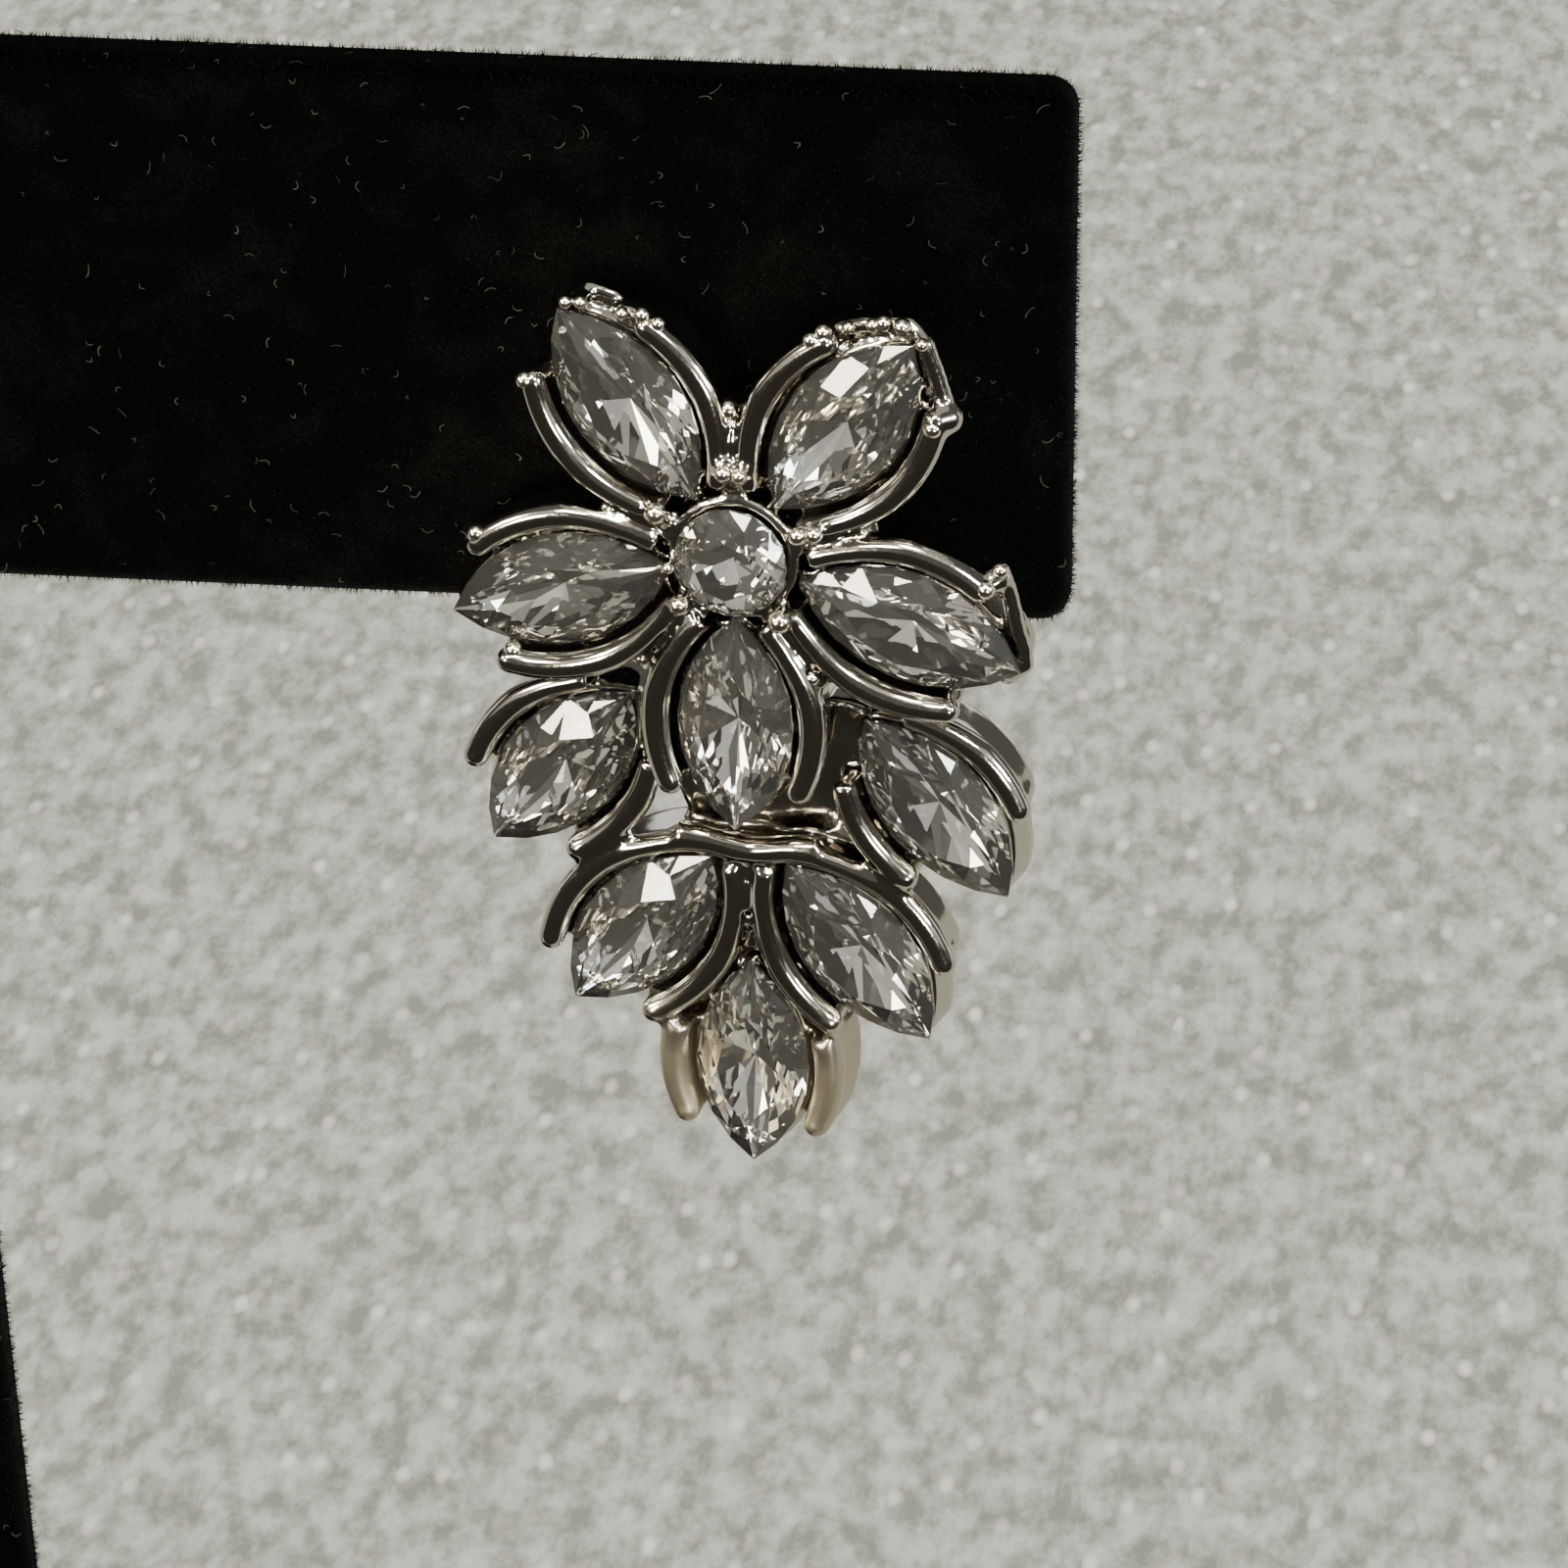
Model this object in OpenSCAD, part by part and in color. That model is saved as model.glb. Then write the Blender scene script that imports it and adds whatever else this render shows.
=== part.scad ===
// Crystal cluster dangle earring, hung on the arm of a plain velvet display stand.
// A flower of marquise stones is fixed to the arm by its post. A spray of more marquise
// stones, the drop, swings on a hinge pin behind the flower. All sizes are in millimetres.

/* [Marquise stones] */
// Length of a marquise stone from tip to tip
stone_len = 10; // [9.5:0.1:10.2]
// Width of a marquise stone across its middle
stone_wid = 5; // [4.8:0.1:5.1]
// Height of the facets above the girdle
crown_h = 0.95; // [0.7:0.05:1.1]
// Depth of the facets below the girdle
pavilion_h = 1.6; // [1.3:0.05:1.65]
// Thickness of the girdle, the stone's widest band
girdle_h = 0.2; // [0.1:0.05:0.3]
// Size of the flat table as a share of the outline
table_share = 0.54; // [0.45:0.01:0.62]

/* [Center stone] */
// Diameter of the round stone in the flower's middle
center_d = 4.86; // [4.6:0.02:4.9]
// Height of its girdle above the girdles of the petals
center_rise = 0.85; // [0.8:0.05:1.0]
// Height of its facets above the girdle
center_crown_h = 0.9; // [0.7:0.05:1]
// Depth of its facets below the girdle
center_pavilion_h = 1.55; // [1.3:0.05:1.6]

/* [Settings] */
// Free gap between a stone's edge and the rail beside it
rail_gap = 0.3; // [0.25:0.01:0.35]
// Thickness of a rail's rounded top
rail_t = 1.04; // [0.96:0.02:1.06]
// Thickness of a rail's wall at the back
rail_foot_t = 0.75; // [0.6:0.05:0.85]
// Height of a rail's crest above the stones' girdles
rail_rise = 0.85; // [0.7:0.05:0.95]
// Depth of a setting from the girdles to its flat back
setting_depth = 2.5; // [2.3:0.05:2.5]
// Radius of the bead that ends a rail
rail_bead_r = 0.6; // [0.56:0.01:0.64]
// Thickness of the floor under a stone
floor_t = 0.4; // [0.3:0.05:0.5]

/* [Flower] */
// Distance from the flower's centre to the middle of each petal
petal_r = 7.9; // [7.9:0.05:8.2]
// Reach of the webs between the petals, from the flower's centre
web_reach = 6.7; // [6:0.1:6.9]
// Radius of the circle on which the prong beads stand
prong_ring_r = 2.9; // [2.88:0.01:2.95]
// Radius of a prong bead
prong_bead_r = 0.48; // [0.44:0.01:0.5]

/* [Drop] */
// Angle of the four side stones, measured from straight down
spray_angle = 38.6; // [37:0.2:40]
// Sideways distance to the middle of each upper stone
upper_x = 8.2; // [8.1:0.05:8.4]
// Distance from the flower's centre down to the upper stones
upper_down = 11.9; // [11.9:0.1:12.3]
// Sideways distance to the middle of each lower stone
lower_x = 4.75; // [4.7:0.05:4.9]
// Distance from the flower's centre down to the lower stones
lower_down = 19.4; // [19.2:0.1:19.6]
// Distance from the flower's centre down to the last stone
tip_down = 25.5; // [25.2:0.1:25.8]
// Distance of the drop's girdles behind the flower's girdles
drop_back = 2; // [1.95:0.05:2.1]
// Lean of the drop about its pin, at which its weight hangs straight below the pin
drop_lean = 2.5; // [1.5:0.1:3.5]

/* [Hinge] */
// Distance from the flower's centre down to the hinge pin
pin_down = 6.6; // [6.5:0.05:6.7]
// Distance of the hinge pin behind the flower's girdles
pin_back = 3.5; // [3.45:0.05:3.6]
// Radius of the hinge pin
pin_r = 0.4; // [0.38:0.01:0.42]
// Radius of the knuckle that turns on the pin
knuckle_r = 0.85; // [0.82:0.01:0.88]
// Radial clearance between the pin and the knuckle
pin_clearance = 0.06; // [0.04:0.01:0.08]

/* [Post] */
// Diameter of the ear post
post_d = 0.9; // [0.8:0.05:0.9]
// Width of its square shank, which passes through the stand's arm
shank_w = 1; // [0.95:0.05:1.1]
// Length of the shank behind the flower's back
shank_len = 5.5; // [5.2:0.1:6]
// Length of the ear post behind the flower's back
post_len = 11; // [10:0.5:12]
// Diameter of the pad that joins the post to the flower
pad_d = 4.8; // [4:0.2:5]

/* [Display stand] */
// Length of the stand's arm
arm_len = 110; // [100:1:120]
// Height of the stand's arm
arm_h = 24.4; // [24:0.2:25]
// Thickness of the velvet covered board
board_t = 2.5; // [2:0.25:2.5]
// Height of the arm's top edge above the table
stand_h = 98; // [95:1:110]
// Width of the upright just below the arm
upright_top_w = 11; // [9:1:16]
// Width of the upright where it enters the foot
upright_foot_w = 20; // [16:1:26]
// Width of the foot
foot_w = 62; // [56:1:70]
// Depth of the foot from front to back
foot_d = 46; // [40:1:50]
// Thickness of the foot
foot_t = 4; // [4:0.5:5]
// Distance from the arm's end to the flower's centre, along the arm
end_to_flower = 13; // [12:0.5:30]
// Distance from the arm's lower edge up to the flower's centre
edge_to_flower = 4.9; // [4.8:0.1:5]
// Turn of the earring on its post, away from the arm's face
earring_turn = 8.5; // [8:0.1:9]
// Distance from the arm's front face to the flower's girdles, along the post
stand_off = 4.6; // [4.55:0.05:4.8]

/* [Hidden] */
$fn = 64;

silver = "#c9c6bb";
crystal = "#b9c2c6";
velvet = "#17171a";

// The marquise outline is two arcs of this radius, with centres this far off its axis
arc_r = (stone_len * stone_len + stone_wid * stone_wid) / (4 * stone_wid);
arc_off = arc_r - stone_wid / 2;
half_arc = asin(stone_len / 2 / arc_r);

rail_in_r = arc_r + rail_gap;
rail_mid_r = rail_in_r + rail_t / 2;
rail_bar_z = rail_rise - rail_t / 2;
rail_foot_z = 0.08 - setting_depth;
claw_r = 0.28;
claw_inset = 0.12;
claw_foot_z = rail_foot_z + 0.1;
tray_out_r = arc_r + rail_gap + 0.1;
tray_in_r = arc_r - 0.2;
tray_top_z = -0.4;

cup_r = 2.8;
cup_in_r = 2.22;
cup_top_z = 0.4;
cup_floor_t = 1.2;
prong_z = center_rise + 0.5;
prong_post_r = 0.42;
prong_lean = 0.15;
cup_back_z = 0.04 - setting_depth;
web_w = 1.5;
web_root = 0.4;
web_top_z = -0.7;
web_back_z = 0.14 - setting_depth;
prong_foot_z = -1.6;

// Each petal: its angle round the flower, then the stretch of its left and right rail
PETALS = [
    [126, [-44, 30], [-44, 34]],
    [54, [-44, 34], [-44, 30]],
    [198, [-44, 34], [-44, 26]],
    [342, [-44, 26], [-44, 36]],
    [270, [-44, 28], [-44, 28]]
];

// Each drop stone: side (-1 left, 1 right, 0 middle), across, down, then the stretch of
// its outer rail and of its inner rail
SPRAY = [
    [-1, upper_x, upper_down, [-38, 34], [-27, 28]],
    [1, upper_x, upper_down, [-38, 34], [-27, 28]],
    [-1, lower_x, lower_down, [-50, 34], [-42, 26]],
    [1, lower_x, lower_down, [-50, 34], [-42, 26]],
    [0, 0, tip_down, [-14, 28], [-14, 28]]
];

// The pad of the post, and its clearance to the flower's back
pad_t = 0.5;
post_gap = 0.02;

// Bars behind the drop's stones, the neck on the hinge pin and the ridge between the lower stones
bar_front_z = -1.2;
bar_back_z = -setting_depth;
neck_w = 1.9;
spine_w = 0.9;
spine_top_z = 0.45;
spine_up = 5;
spine_past = 1.2;
neck_end = 15;

// Outlines of the yoke behind the upper stones and of the right strut to the lower ones,
// each point across and up from the flower's centre
YOKE = [[-5.6, -8.9], [5.6, -8.9], [5.2, -10.4], [-5.2, -10.4]];
STRUT = [[0, -12.2], [5.4, -14.2], [4.6, -15.4], [0, -13.6]];

// The ears that hold the hinge pin
lug_gap = 0.12;
lug_t = 0.8;
lug_r = 1;

// The upright stands this deep in the foot, and this far clear of the foot and the arm
slot_depth = 2.5;
board_gap = 0.05;
arm_corner_r = 1.3;
foot_corner_r = 4;
post_hole_d = shank_w * sqrt(2) + 0.3;

flower_x = arm_len / 2 - end_to_flower - stand_off * sin(earring_turn);
flower_y = -board_t / 2 - stand_off * cos(earring_turn);
flower_z = stand_h - arm_h + edge_to_flower;

// Places of the groups of points in a cut stone's list
TABLE = 0;
STAR = 8;
UPPER = 16;
LOWER = 32;
LOW = 48;
CULET = 56;

// Sixteen points round a marquise girdle, the first at its outer tip
function navette_girdle() = [
    for (k = [0 : 15])
        let (side = k < 8 ? 1 : -1, turn = half_arc * (1 - (k % 8) / 4))
        [side * arc_r * sin(turn), side * (arc_r * cos(turn) - arc_off)]
];

// Sixteen points round a circular girdle
function round_girdle(r) = [for (k = [0 : 15]) [r * cos(k * 22.5), r * sin(k * 22.5)]];

function at_height(points, share, z) = [for (p = points) [p[0] * share, p[1] * share, z]];

function every_second(points, first) = [for (k = [first : 2 : 15]) points[k]];

// A brilliant cut on any girdle of sixteen points: table, stars, kites, girdle facets,
// and below the girdle the lower halves and mains that meet in the culet
module cut_stone(girdle, crown, pavilion) {
    star_share = 0.8;
    low_share = 0.36;
    top_z = girdle_h / 2;
    star_z = top_z + crown * (1 - star_share * cos(22.5)) / (1 - table_share);
    low_z = -top_z - pavilion * (1 - low_share * cos(22.5));
    even = every_second(girdle, 0);
    odd = every_second(girdle, 1);
    points = concat(
        at_height(even, table_share, top_z + crown),
        at_height(odd, star_share, star_z),
        at_height(girdle, 1, top_z),
        at_height(girdle, 1, -top_z),
        at_height(odd, low_share, low_z),
        [[0, 0, -top_z - pavilion]]
    );
    polyhedron(points, concat(
        [[for (i = [7 : -1 : 0]) TABLE + i]],
        [for (i = [0 : 7]) [TABLE + i, TABLE + (i + 1) % 8, STAR + i]],
        [for (i = [0 : 7]) [TABLE + i, STAR + i, UPPER + 2 * i]],
        [for (i = [0 : 7]) [TABLE + i, UPPER + 2 * i, STAR + (i + 7) % 8]],
        [for (i = [0 : 7]) [STAR + i, UPPER + 2 * i + 1, UPPER + 2 * i]],
        [for (i = [0 : 7]) [STAR + i, UPPER + (2 * i + 2) % 16, UPPER + 2 * i + 1]],
        [for (k = [0 : 15]) [UPPER + k, UPPER + (k + 1) % 16, LOWER + (k + 1) % 16]],
        [for (k = [0 : 15]) [UPPER + k, LOWER + (k + 1) % 16, LOWER + k]],
        [for (i = [0 : 7]) [LOW + i, LOWER + 2 * i, LOWER + 2 * i + 1]],
        [for (i = [0 : 7]) [LOW + i, LOWER + 2 * i + 1, LOWER + (2 * i + 2) % 16]],
        [for (i = [0 : 7]) [CULET, LOWER + 2 * i, LOW + i]],
        [for (i = [0 : 7]) [CULET, LOW + (i + 7) % 8, LOWER + 2 * i]]
    ));
}

// A marquise prism between two heights, bounded by two arcs
module navette_prism(r, low_z, high_z) {
    translate([0, 0, low_z])
        intersection() {
            translate([0, arc_off, 0])
                cylinder(r = r, h = high_z - low_z);
            translate([0, -arc_off, 0])
                cylinder(r = r, h = high_z - low_z);
        }
}

// The open cup under a stone, with a floor
module tray() {
    difference() {
        navette_prism(tray_out_r, -setting_depth, tray_top_z);
        navette_prism(tray_in_r, -setting_depth + floor_t, tray_top_z + 1);
    }
}

// One rail on the left of the outer direction: a round bar on a wall, with a bead at its end
module rail(stretch) {
    translate([0, -arc_off, 0]) {
        rotate([0, 0, 90 - stretch[1]])
            rotate_extrude(angle = stretch[1] - stretch[0])
                union() {
                    polygon([
                        [rail_in_r, rail_bar_z],
                        [rail_in_r, rail_foot_z],
                        [rail_in_r + rail_foot_t, rail_foot_z],
                        [rail_in_r + rail_t, rail_bar_z]
                    ]);
                    translate([rail_mid_r, rail_bar_z])
                        circle(r = rail_t / 2);
                }
        rotate([0, 0, 90 - stretch[1]]) {
            translate([rail_mid_r, 0, rail_bar_z])
                sphere(r = rail_bead_r);
            translate([rail_mid_r - claw_inset, 0, claw_foot_z])
                cylinder(r = claw_r, h = rail_bar_z - claw_foot_z);
        }
    }
}

module petal_setting(left_stretch, right_stretch) {
    tray();
    rail(left_stretch);
    mirror([0, 1, 0])
        rail(right_stretch);
}

// Room for the stone and its clearance, taken out of whatever crosses it
module stone_room() {
    navette_prism(arc_r + 0.12, tray_top_z + 0.03, rail_rise + 1);
    navette_prism(tray_in_r, -setting_depth + floor_t, tray_top_z + 0.1);
}

module at_petal(i) {
    rotate([0, 0, PETALS[i][0]])
        translate([petal_r, 0, 0])
            children();
}

// A drop stone's place. Its outer direction points down and away from the middle.
module at_drop_stone(i) {
    side = SPRAY[i][0];
    translate([side * SPRAY[i][1], -SPRAY[i][2], 0])
        rotate([0, 0, -90 + side * spray_angle])
            children();
}

// Moves the flower, which is modelled face up, onto the stand's arm
module on_stand() {
    translate([flower_x, flower_y, flower_z])
        rotate([90, 0, -earring_turn])
            children();
}

// Hangs the drop, modelled face up and level with the flower, on its pin
module on_pin() {
    on_stand()
        translate([0, -pin_down, -pin_back])
            rotate([drop_lean, 0, 0])
                translate([0, pin_down, pin_back - drop_back])
                    children();
}

module center_cup() {
    difference() {
        translate([0, 0, cup_back_z])
            cylinder(r = cup_r, h = cup_top_z - cup_back_z);
        translate([0, 0, -setting_depth + cup_floor_t])
            cylinder(r = cup_in_r, h = setting_depth + 1);
    }
}

module prong(i) {
    rotate([0, 0, 90 + 72 * i]) {
        translate([prong_ring_r + prong_lean, 0, prong_foot_z])
            cylinder(r = prong_post_r, h = prong_z - prong_foot_z);
        translate([prong_ring_r, 0, prong_z])
            sphere(r = prong_bead_r);
    }
}

// The bridge that fills the root of the gap between two petals
module petal_web(i) {
    rotate([0, 0, 90 + 72 * i])
        translate([cup_r - web_root, -web_w / 2, web_back_z])
            cube([web_reach - cup_r + web_root, web_w, web_top_z - web_back_z]);
}

// Two ears behind the lowest petal, drilled for the hinge pin
module hinge_lugs() {
    lug_in_x = neck_w / 2 + lug_gap;
    for (side = [-1, 1])
        translate([side * (lug_in_x + lug_t / 2), -pin_down, -pin_back])
            difference() {
                union() {
                    rotate([0, 90, 0])
                        cylinder(r = lug_r, h = lug_t, center = true);
                    translate([-lug_t / 2, -lug_r, 0])
                        cube([lug_t, 2 * lug_r, pin_back - setting_depth + 0.2]);
                }
                rotate([0, 90, 0])
                    cylinder(r = pin_r + 0.02, h = lug_t + 1, center = true);
            }
}

module flower_setting() {
    color(silver)
        on_stand() {
            for (i = [0 : 4])
                at_petal(i)
                    petal_setting(PETALS[i][1], PETALS[i][2]);
            center_cup();
            for (i = [0 : 4]) {
                prong(i);
                petal_web(i);
            }
            hinge_lugs();
        }
}

module petal_stone(i) {
    color(crystal, 0.7)
        on_stand()
            at_petal(i)
                cut_stone(navette_girdle(), crown_h, pavilion_h);
}

module center_stone() {
    color(crystal, 0.7)
        on_stand()
            translate([0, 0, center_rise])
                cut_stone(round_girdle(center_d / 2), center_crown_h, center_pavilion_h);
}

// Pad, square shank and round post in one, behind the flower
module ear_post() {
    color(silver)
        on_stand()
            translate([0, 0, -setting_depth - post_gap]) {
                translate([0, 0, -pad_t])
                    cylinder(d = pad_d, h = pad_t);
                translate([-shank_w / 2, -shank_w / 2, -shank_len])
                    cube([shank_w, shank_w, shank_len - pad_t / 2]);
                translate([0, 0, -post_len])
                    cylinder(d = post_d, h = post_len - shank_len / 2);
            }
}

module hinge_pin() {
    pin_len = neck_w + 2 * lug_gap + 2 * lug_t + 0.4;
    color(silver)
        on_stand()
            translate([0, -pin_down, -pin_back])
                rotate([0, 90, 0])
                    cylinder(r = pin_r, h = pin_len, center = true);
}

// A flat bar behind the drop's stones, with the given outline
module back_bar(outline) {
    translate([0, 0, bar_back_z])
        linear_extrude(bar_front_z - bar_back_z)
            polygon(outline);
}

// The tube on the hinge pin, its neck and the bars that tie the stones' cups together
module drop_frame() {
    pin_z = drop_back - pin_back;
    difference() {
        union() {
            translate([0, -pin_down, pin_z])
                rotate([0, 90, 0])
                    cylinder(r = knuckle_r, h = neck_w, center = true);
            translate([-neck_w / 2, -neck_end, bar_back_z])
                cube([neck_w, neck_end - pin_down, bar_front_z - bar_back_z]);
        }
        translate([0, -pin_down, pin_z])
            rotate([0, 90, 0])
                cylinder(r = pin_r + pin_clearance, h = neck_w + 1, center = true);
        translate([-neck_w, -pin_down, bar_back_z - 1])
            cube([2 * neck_w, 3, 1 + pin_z - bar_back_z - knuckle_r + 0.15]);
    }
    back_bar(YOKE);
    back_bar(STRUT);
    mirror([1, 0, 0])
        back_bar(STRUT);
    translate([-spine_w / 2, -lower_down - spine_past, bar_back_z])
        cube([spine_w, spine_up + spine_past, spine_top_z - bar_back_z]);
}

module drop_setting() {
    color(silver)
        on_pin()
            difference() {
                union() {
                    for (i = [0 : 4])
                        at_drop_stone(i) {
                            tray();
                            mirror([0, SPRAY[i][0] < 0 ? 1 : 0, 0]) {
                                rail(SPRAY[i][3]);
                                mirror([0, 1, 0])
                                    rail(SPRAY[i][4]);
                            }
                        }
                    drop_frame();
                }
                for (i = [0 : 4])
                    at_drop_stone(i)
                        stone_room();
            }
}

module drop_stone(i) {
    color(crystal, 0.7)
        on_pin()
            at_drop_stone(i)
                cut_stone(navette_girdle(), crown_h, pavilion_h);
}

// A flat board with round corners, its outline in X and Z, centred on Y = 0
module rounded_board(w, h, t, r) {
    rotate([90, 0, 0])
        translate([0, 0, -t / 2])
            linear_extrude(t) {
                square([w - 2 * r, h], center = true);
                square([w, h - 2 * r], center = true);
                for (x = [-1, 1], y = [-1, 1])
                    translate([x * (w / 2 - r), y * (h / 2 - r)])
                        circle(r = r);
            }
}

module stand_arm() {
    color(velvet)
        difference() {
            translate([0, 0, stand_h - arm_h / 2])
                rounded_board(arm_len, arm_h, board_t, arm_corner_r);
            on_stand()
                translate([0, 0, -stand_off - 2 * board_t])
                    cylinder(d = post_hole_d, h = 4 * board_t);
        }
}

module stand_upright() {
    top_z = stand_h - arm_h - board_gap;
    low_z = foot_t - slot_depth;
    color(velvet)
        rotate([90, 0, 0])
            translate([0, 0, -board_t / 2])
                linear_extrude(board_t)
                    polygon([
                        [-upright_top_w / 2, top_z],
                        [upright_top_w / 2, top_z],
                        [upright_foot_w / 2, foot_t],
                        [upright_foot_w / 2, low_z],
                        [-upright_foot_w / 2, low_z],
                        [-upright_foot_w / 2, foot_t]
                    ]);
}

module stand_foot() {
    slot_w = upright_foot_w + 2 * board_gap;
    slot_t = board_t + 2 * board_gap;
    color(velvet)
        difference() {
            linear_extrude(foot_t) {
                square([foot_w - 2 * foot_corner_r, foot_d], center = true);
                square([foot_w, foot_d - 2 * foot_corner_r], center = true);
                for (x = [-1, 1], y = [-1, 1])
                    translate([x * (foot_w / 2 - foot_corner_r), y * (foot_d / 2 - foot_corner_r)])
                        circle(r = foot_corner_r);
            }
            translate([-slot_w / 2, -slot_t / 2, foot_t - slot_depth - board_gap])
                cube([slot_w, slot_t, slot_depth + 1]);
        }
}

flower_setting();
petal_stone(0);  // petal_stone_1
petal_stone(1);  // petal_stone_2
petal_stone(2);  // petal_stone_3
petal_stone(3);  // petal_stone_4
petal_stone(4);  // petal_stone_5
center_stone();
ear_post();
hinge_pin();
drop_setting();
drop_stone(0);  // drop_stone_1
drop_stone(1);  // drop_stone_2
drop_stone(2);  // drop_stone_3
drop_stone(3);  // drop_stone_4
drop_stone(4);  // drop_stone_5
stand_arm();
stand_upright();
stand_foot();
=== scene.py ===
"""Looks of a crystal cluster dangle earring that hangs on a plain black velvet display stand.

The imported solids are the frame. The two castings and the velvet boards are made here and
stand for their solids. The stones, the post and the hinge pin keep their solids and get
their finish here. Jewel coordinates are millimetres with X right, Y up and Z towards the
viewer of the flower. World coordinates are metres.
"""

import logging
from dataclasses import dataclass, field
from enum import Enum
from functools import partial
from math import acos, cos, pi, radians, sin, tau
from typing import Any, Callable, Iterable

import bpy
import numpy as np
from bpy.types import Collection, Material, Modifier, Node, NodeSocket, NodeTree, Object
from mathutils import Matrix, Vector

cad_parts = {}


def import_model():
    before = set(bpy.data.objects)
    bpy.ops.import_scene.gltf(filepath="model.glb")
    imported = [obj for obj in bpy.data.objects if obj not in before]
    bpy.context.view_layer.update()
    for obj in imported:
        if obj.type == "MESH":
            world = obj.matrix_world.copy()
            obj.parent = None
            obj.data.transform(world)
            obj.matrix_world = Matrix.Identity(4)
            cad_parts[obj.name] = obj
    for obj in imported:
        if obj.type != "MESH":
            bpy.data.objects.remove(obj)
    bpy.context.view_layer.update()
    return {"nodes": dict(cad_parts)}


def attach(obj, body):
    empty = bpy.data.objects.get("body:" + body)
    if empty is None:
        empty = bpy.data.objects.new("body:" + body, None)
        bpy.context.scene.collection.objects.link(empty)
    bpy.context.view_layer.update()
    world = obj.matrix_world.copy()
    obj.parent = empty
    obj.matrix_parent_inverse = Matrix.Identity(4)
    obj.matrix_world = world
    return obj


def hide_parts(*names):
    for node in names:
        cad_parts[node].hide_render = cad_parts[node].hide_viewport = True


LOG = logging.getLogger("earring")
MM = 0.001

Flat = tuple[float, float]
Point = tuple[float, float, float]
Ball = tuple[float, float, float, float]
Bar = tuple[tuple[Flat, ...], float, float]
Ring = list[Point]
Adder = Callable[..., Node]

# The jewel's middle in the world, at which the camera and the lamps aim
AIM: Point = (0.043397, -0.006110, 0.06801)
# The hinge pin lies below and behind the flower's middle, and the drop's stones lie behind
# the flower's, by these millimetres
PIN_DOWN, PIN_BACK, DROP_BACK = 6.6, 3.5, 2.0
# The kind of input that a value of each type gives a Geometry Nodes tree
SOCKETS = {float: "NodeSocketFloat", int: "NodeSocketInt", tuple: "NodeSocketVector",
           type(None): "NodeSocketMaterial"}


# Small helpers


def linear(hex_colour: str) -> tuple[float, float, float, float]:
    """Turn an sRGB hex colour into linear RGBA.

    Args:
        hex_colour: A colour such as "#C8C4B4".

    Returns:
        Red, green and blue in linear light, and an alpha of 1.
    """
    values = [int(hex_colour[place:place + 2], 16) / 255 for place in (1, 3, 5)]
    red, green, blue = (v / 12.92 if v <= 0.04045 else ((v + 0.055) / 1.055) ** 2.4
                        for v in values)
    return red, green, blue, 1.0


def add_node(tree: NodeTree, kind: str, inputs: dict[Any, Any] | None = None,
             **settings: Any) -> Node:
    """Add one node, set its options and fill or link its inputs.

    Args:
        tree: The node tree that gets the node.
        kind: The node's type name.
        inputs: What each input, by name or number, gets: a value, an output socket, a node
            whose first output is meant, or a list of these for an input that joins.
        **settings: Options of the node, such as operation.

    Returns:
        The new node.
    """
    node = tree.nodes.new(kind)
    for name, value in settings.items():
        setattr(node, name, value)
    for name, values in (inputs or {}).items():
        for value in values if isinstance(values, list) else [values]:
            if isinstance(value, Node):
                value = next(socket for socket in value.outputs if socket.enabled)
            if isinstance(value, NodeSocket):
                tree.links.new(value, node.inputs[name])
            else:
                node.inputs[name].default_value = value
    return node


def new_tree(name: str, sizes: dict[str, Any]) -> tuple[NodeTree, Adder, Any]:
    """Make a Geometry Nodes tree with named inputs.

    Args:
        name: The tree's name.
        sizes: Each input's name and its first value, None for a material.

    Returns:
        The tree, the function that adds its nodes, and its inputs' sockets by name.
    """
    tree = bpy.data.node_groups.new(name, "GeometryNodeTree")
    add = partial(add_node, tree)
    for way in ("INPUT", "OUTPUT"):
        tree.interface.new_socket("Geometry", in_out=way, socket_type="NodeSocketGeometry")
    for title, value in sizes.items():
        socket = tree.interface.new_socket(title, in_out="INPUT", socket_type=SOCKETS[type(value)])
        if value is not None:
            socket.default_value = value
    return tree, add, add("NodeGroupInput").outputs


def mesh_object(name: str, points: list[Point], edges: list[tuple[int, int]],
                faces: list[Iterable[int]]) -> Object:
    """Make an object of the scene, at the origin, from the parts of its mesh.

    Args:
        name: The name of the object and its mesh.
        points: The mesh's points.
        edges: Its loose edges.
        faces: Its faces.

    Returns:
        The object.
    """
    mesh = bpy.data.meshes.new(name)
    mesh.from_pydata(points, edges, faces)
    piece = bpy.data.objects.new(name, mesh)
    bpy.context.scene.collection.objects.link(piece)
    return piece


def keep_result(piece: Object, modifier: Modifier) -> None:
    """Keep what a modifier makes of a piece as its plain mesh, and remove the modifier.

    Args:
        piece: The piece.
        modifier: Its modifier.
    """
    graph = bpy.context.evaluated_depsgraph_get()
    made = bpy.data.meshes.new_from_object(piece.evaluated_get(graph), depsgraph=graph)
    piece.modifiers.remove(modifier)
    old, piece.data = piece.data, made
    made.name = piece.name
    bpy.data.meshes.remove(old)


def run_tree(piece: Object, tree: NodeTree, values: dict[str, Any]) -> None:
    """Run a Geometry Nodes tree on a piece and keep the result as its plain mesh.

    Args:
        piece: The object that carries the guides.
        tree: The tree to run.
        values: Value for each named input of the tree that doesn't keep its first one.
    """
    modifier = piece.modifiers.new("maker", "NODES")
    modifier.node_group = tree
    for item in tree.interface.items_tree:
        if item.item_type == "SOCKET" and item.in_out == "INPUT" and item.name in values:
            modifier[item.identifier] = values[item.name]
    keep_result(piece, modifier)
    LOG.info("built %s with %d faces", piece.name, len(piece.data.polygons))


# Where the jewel hangs


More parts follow.
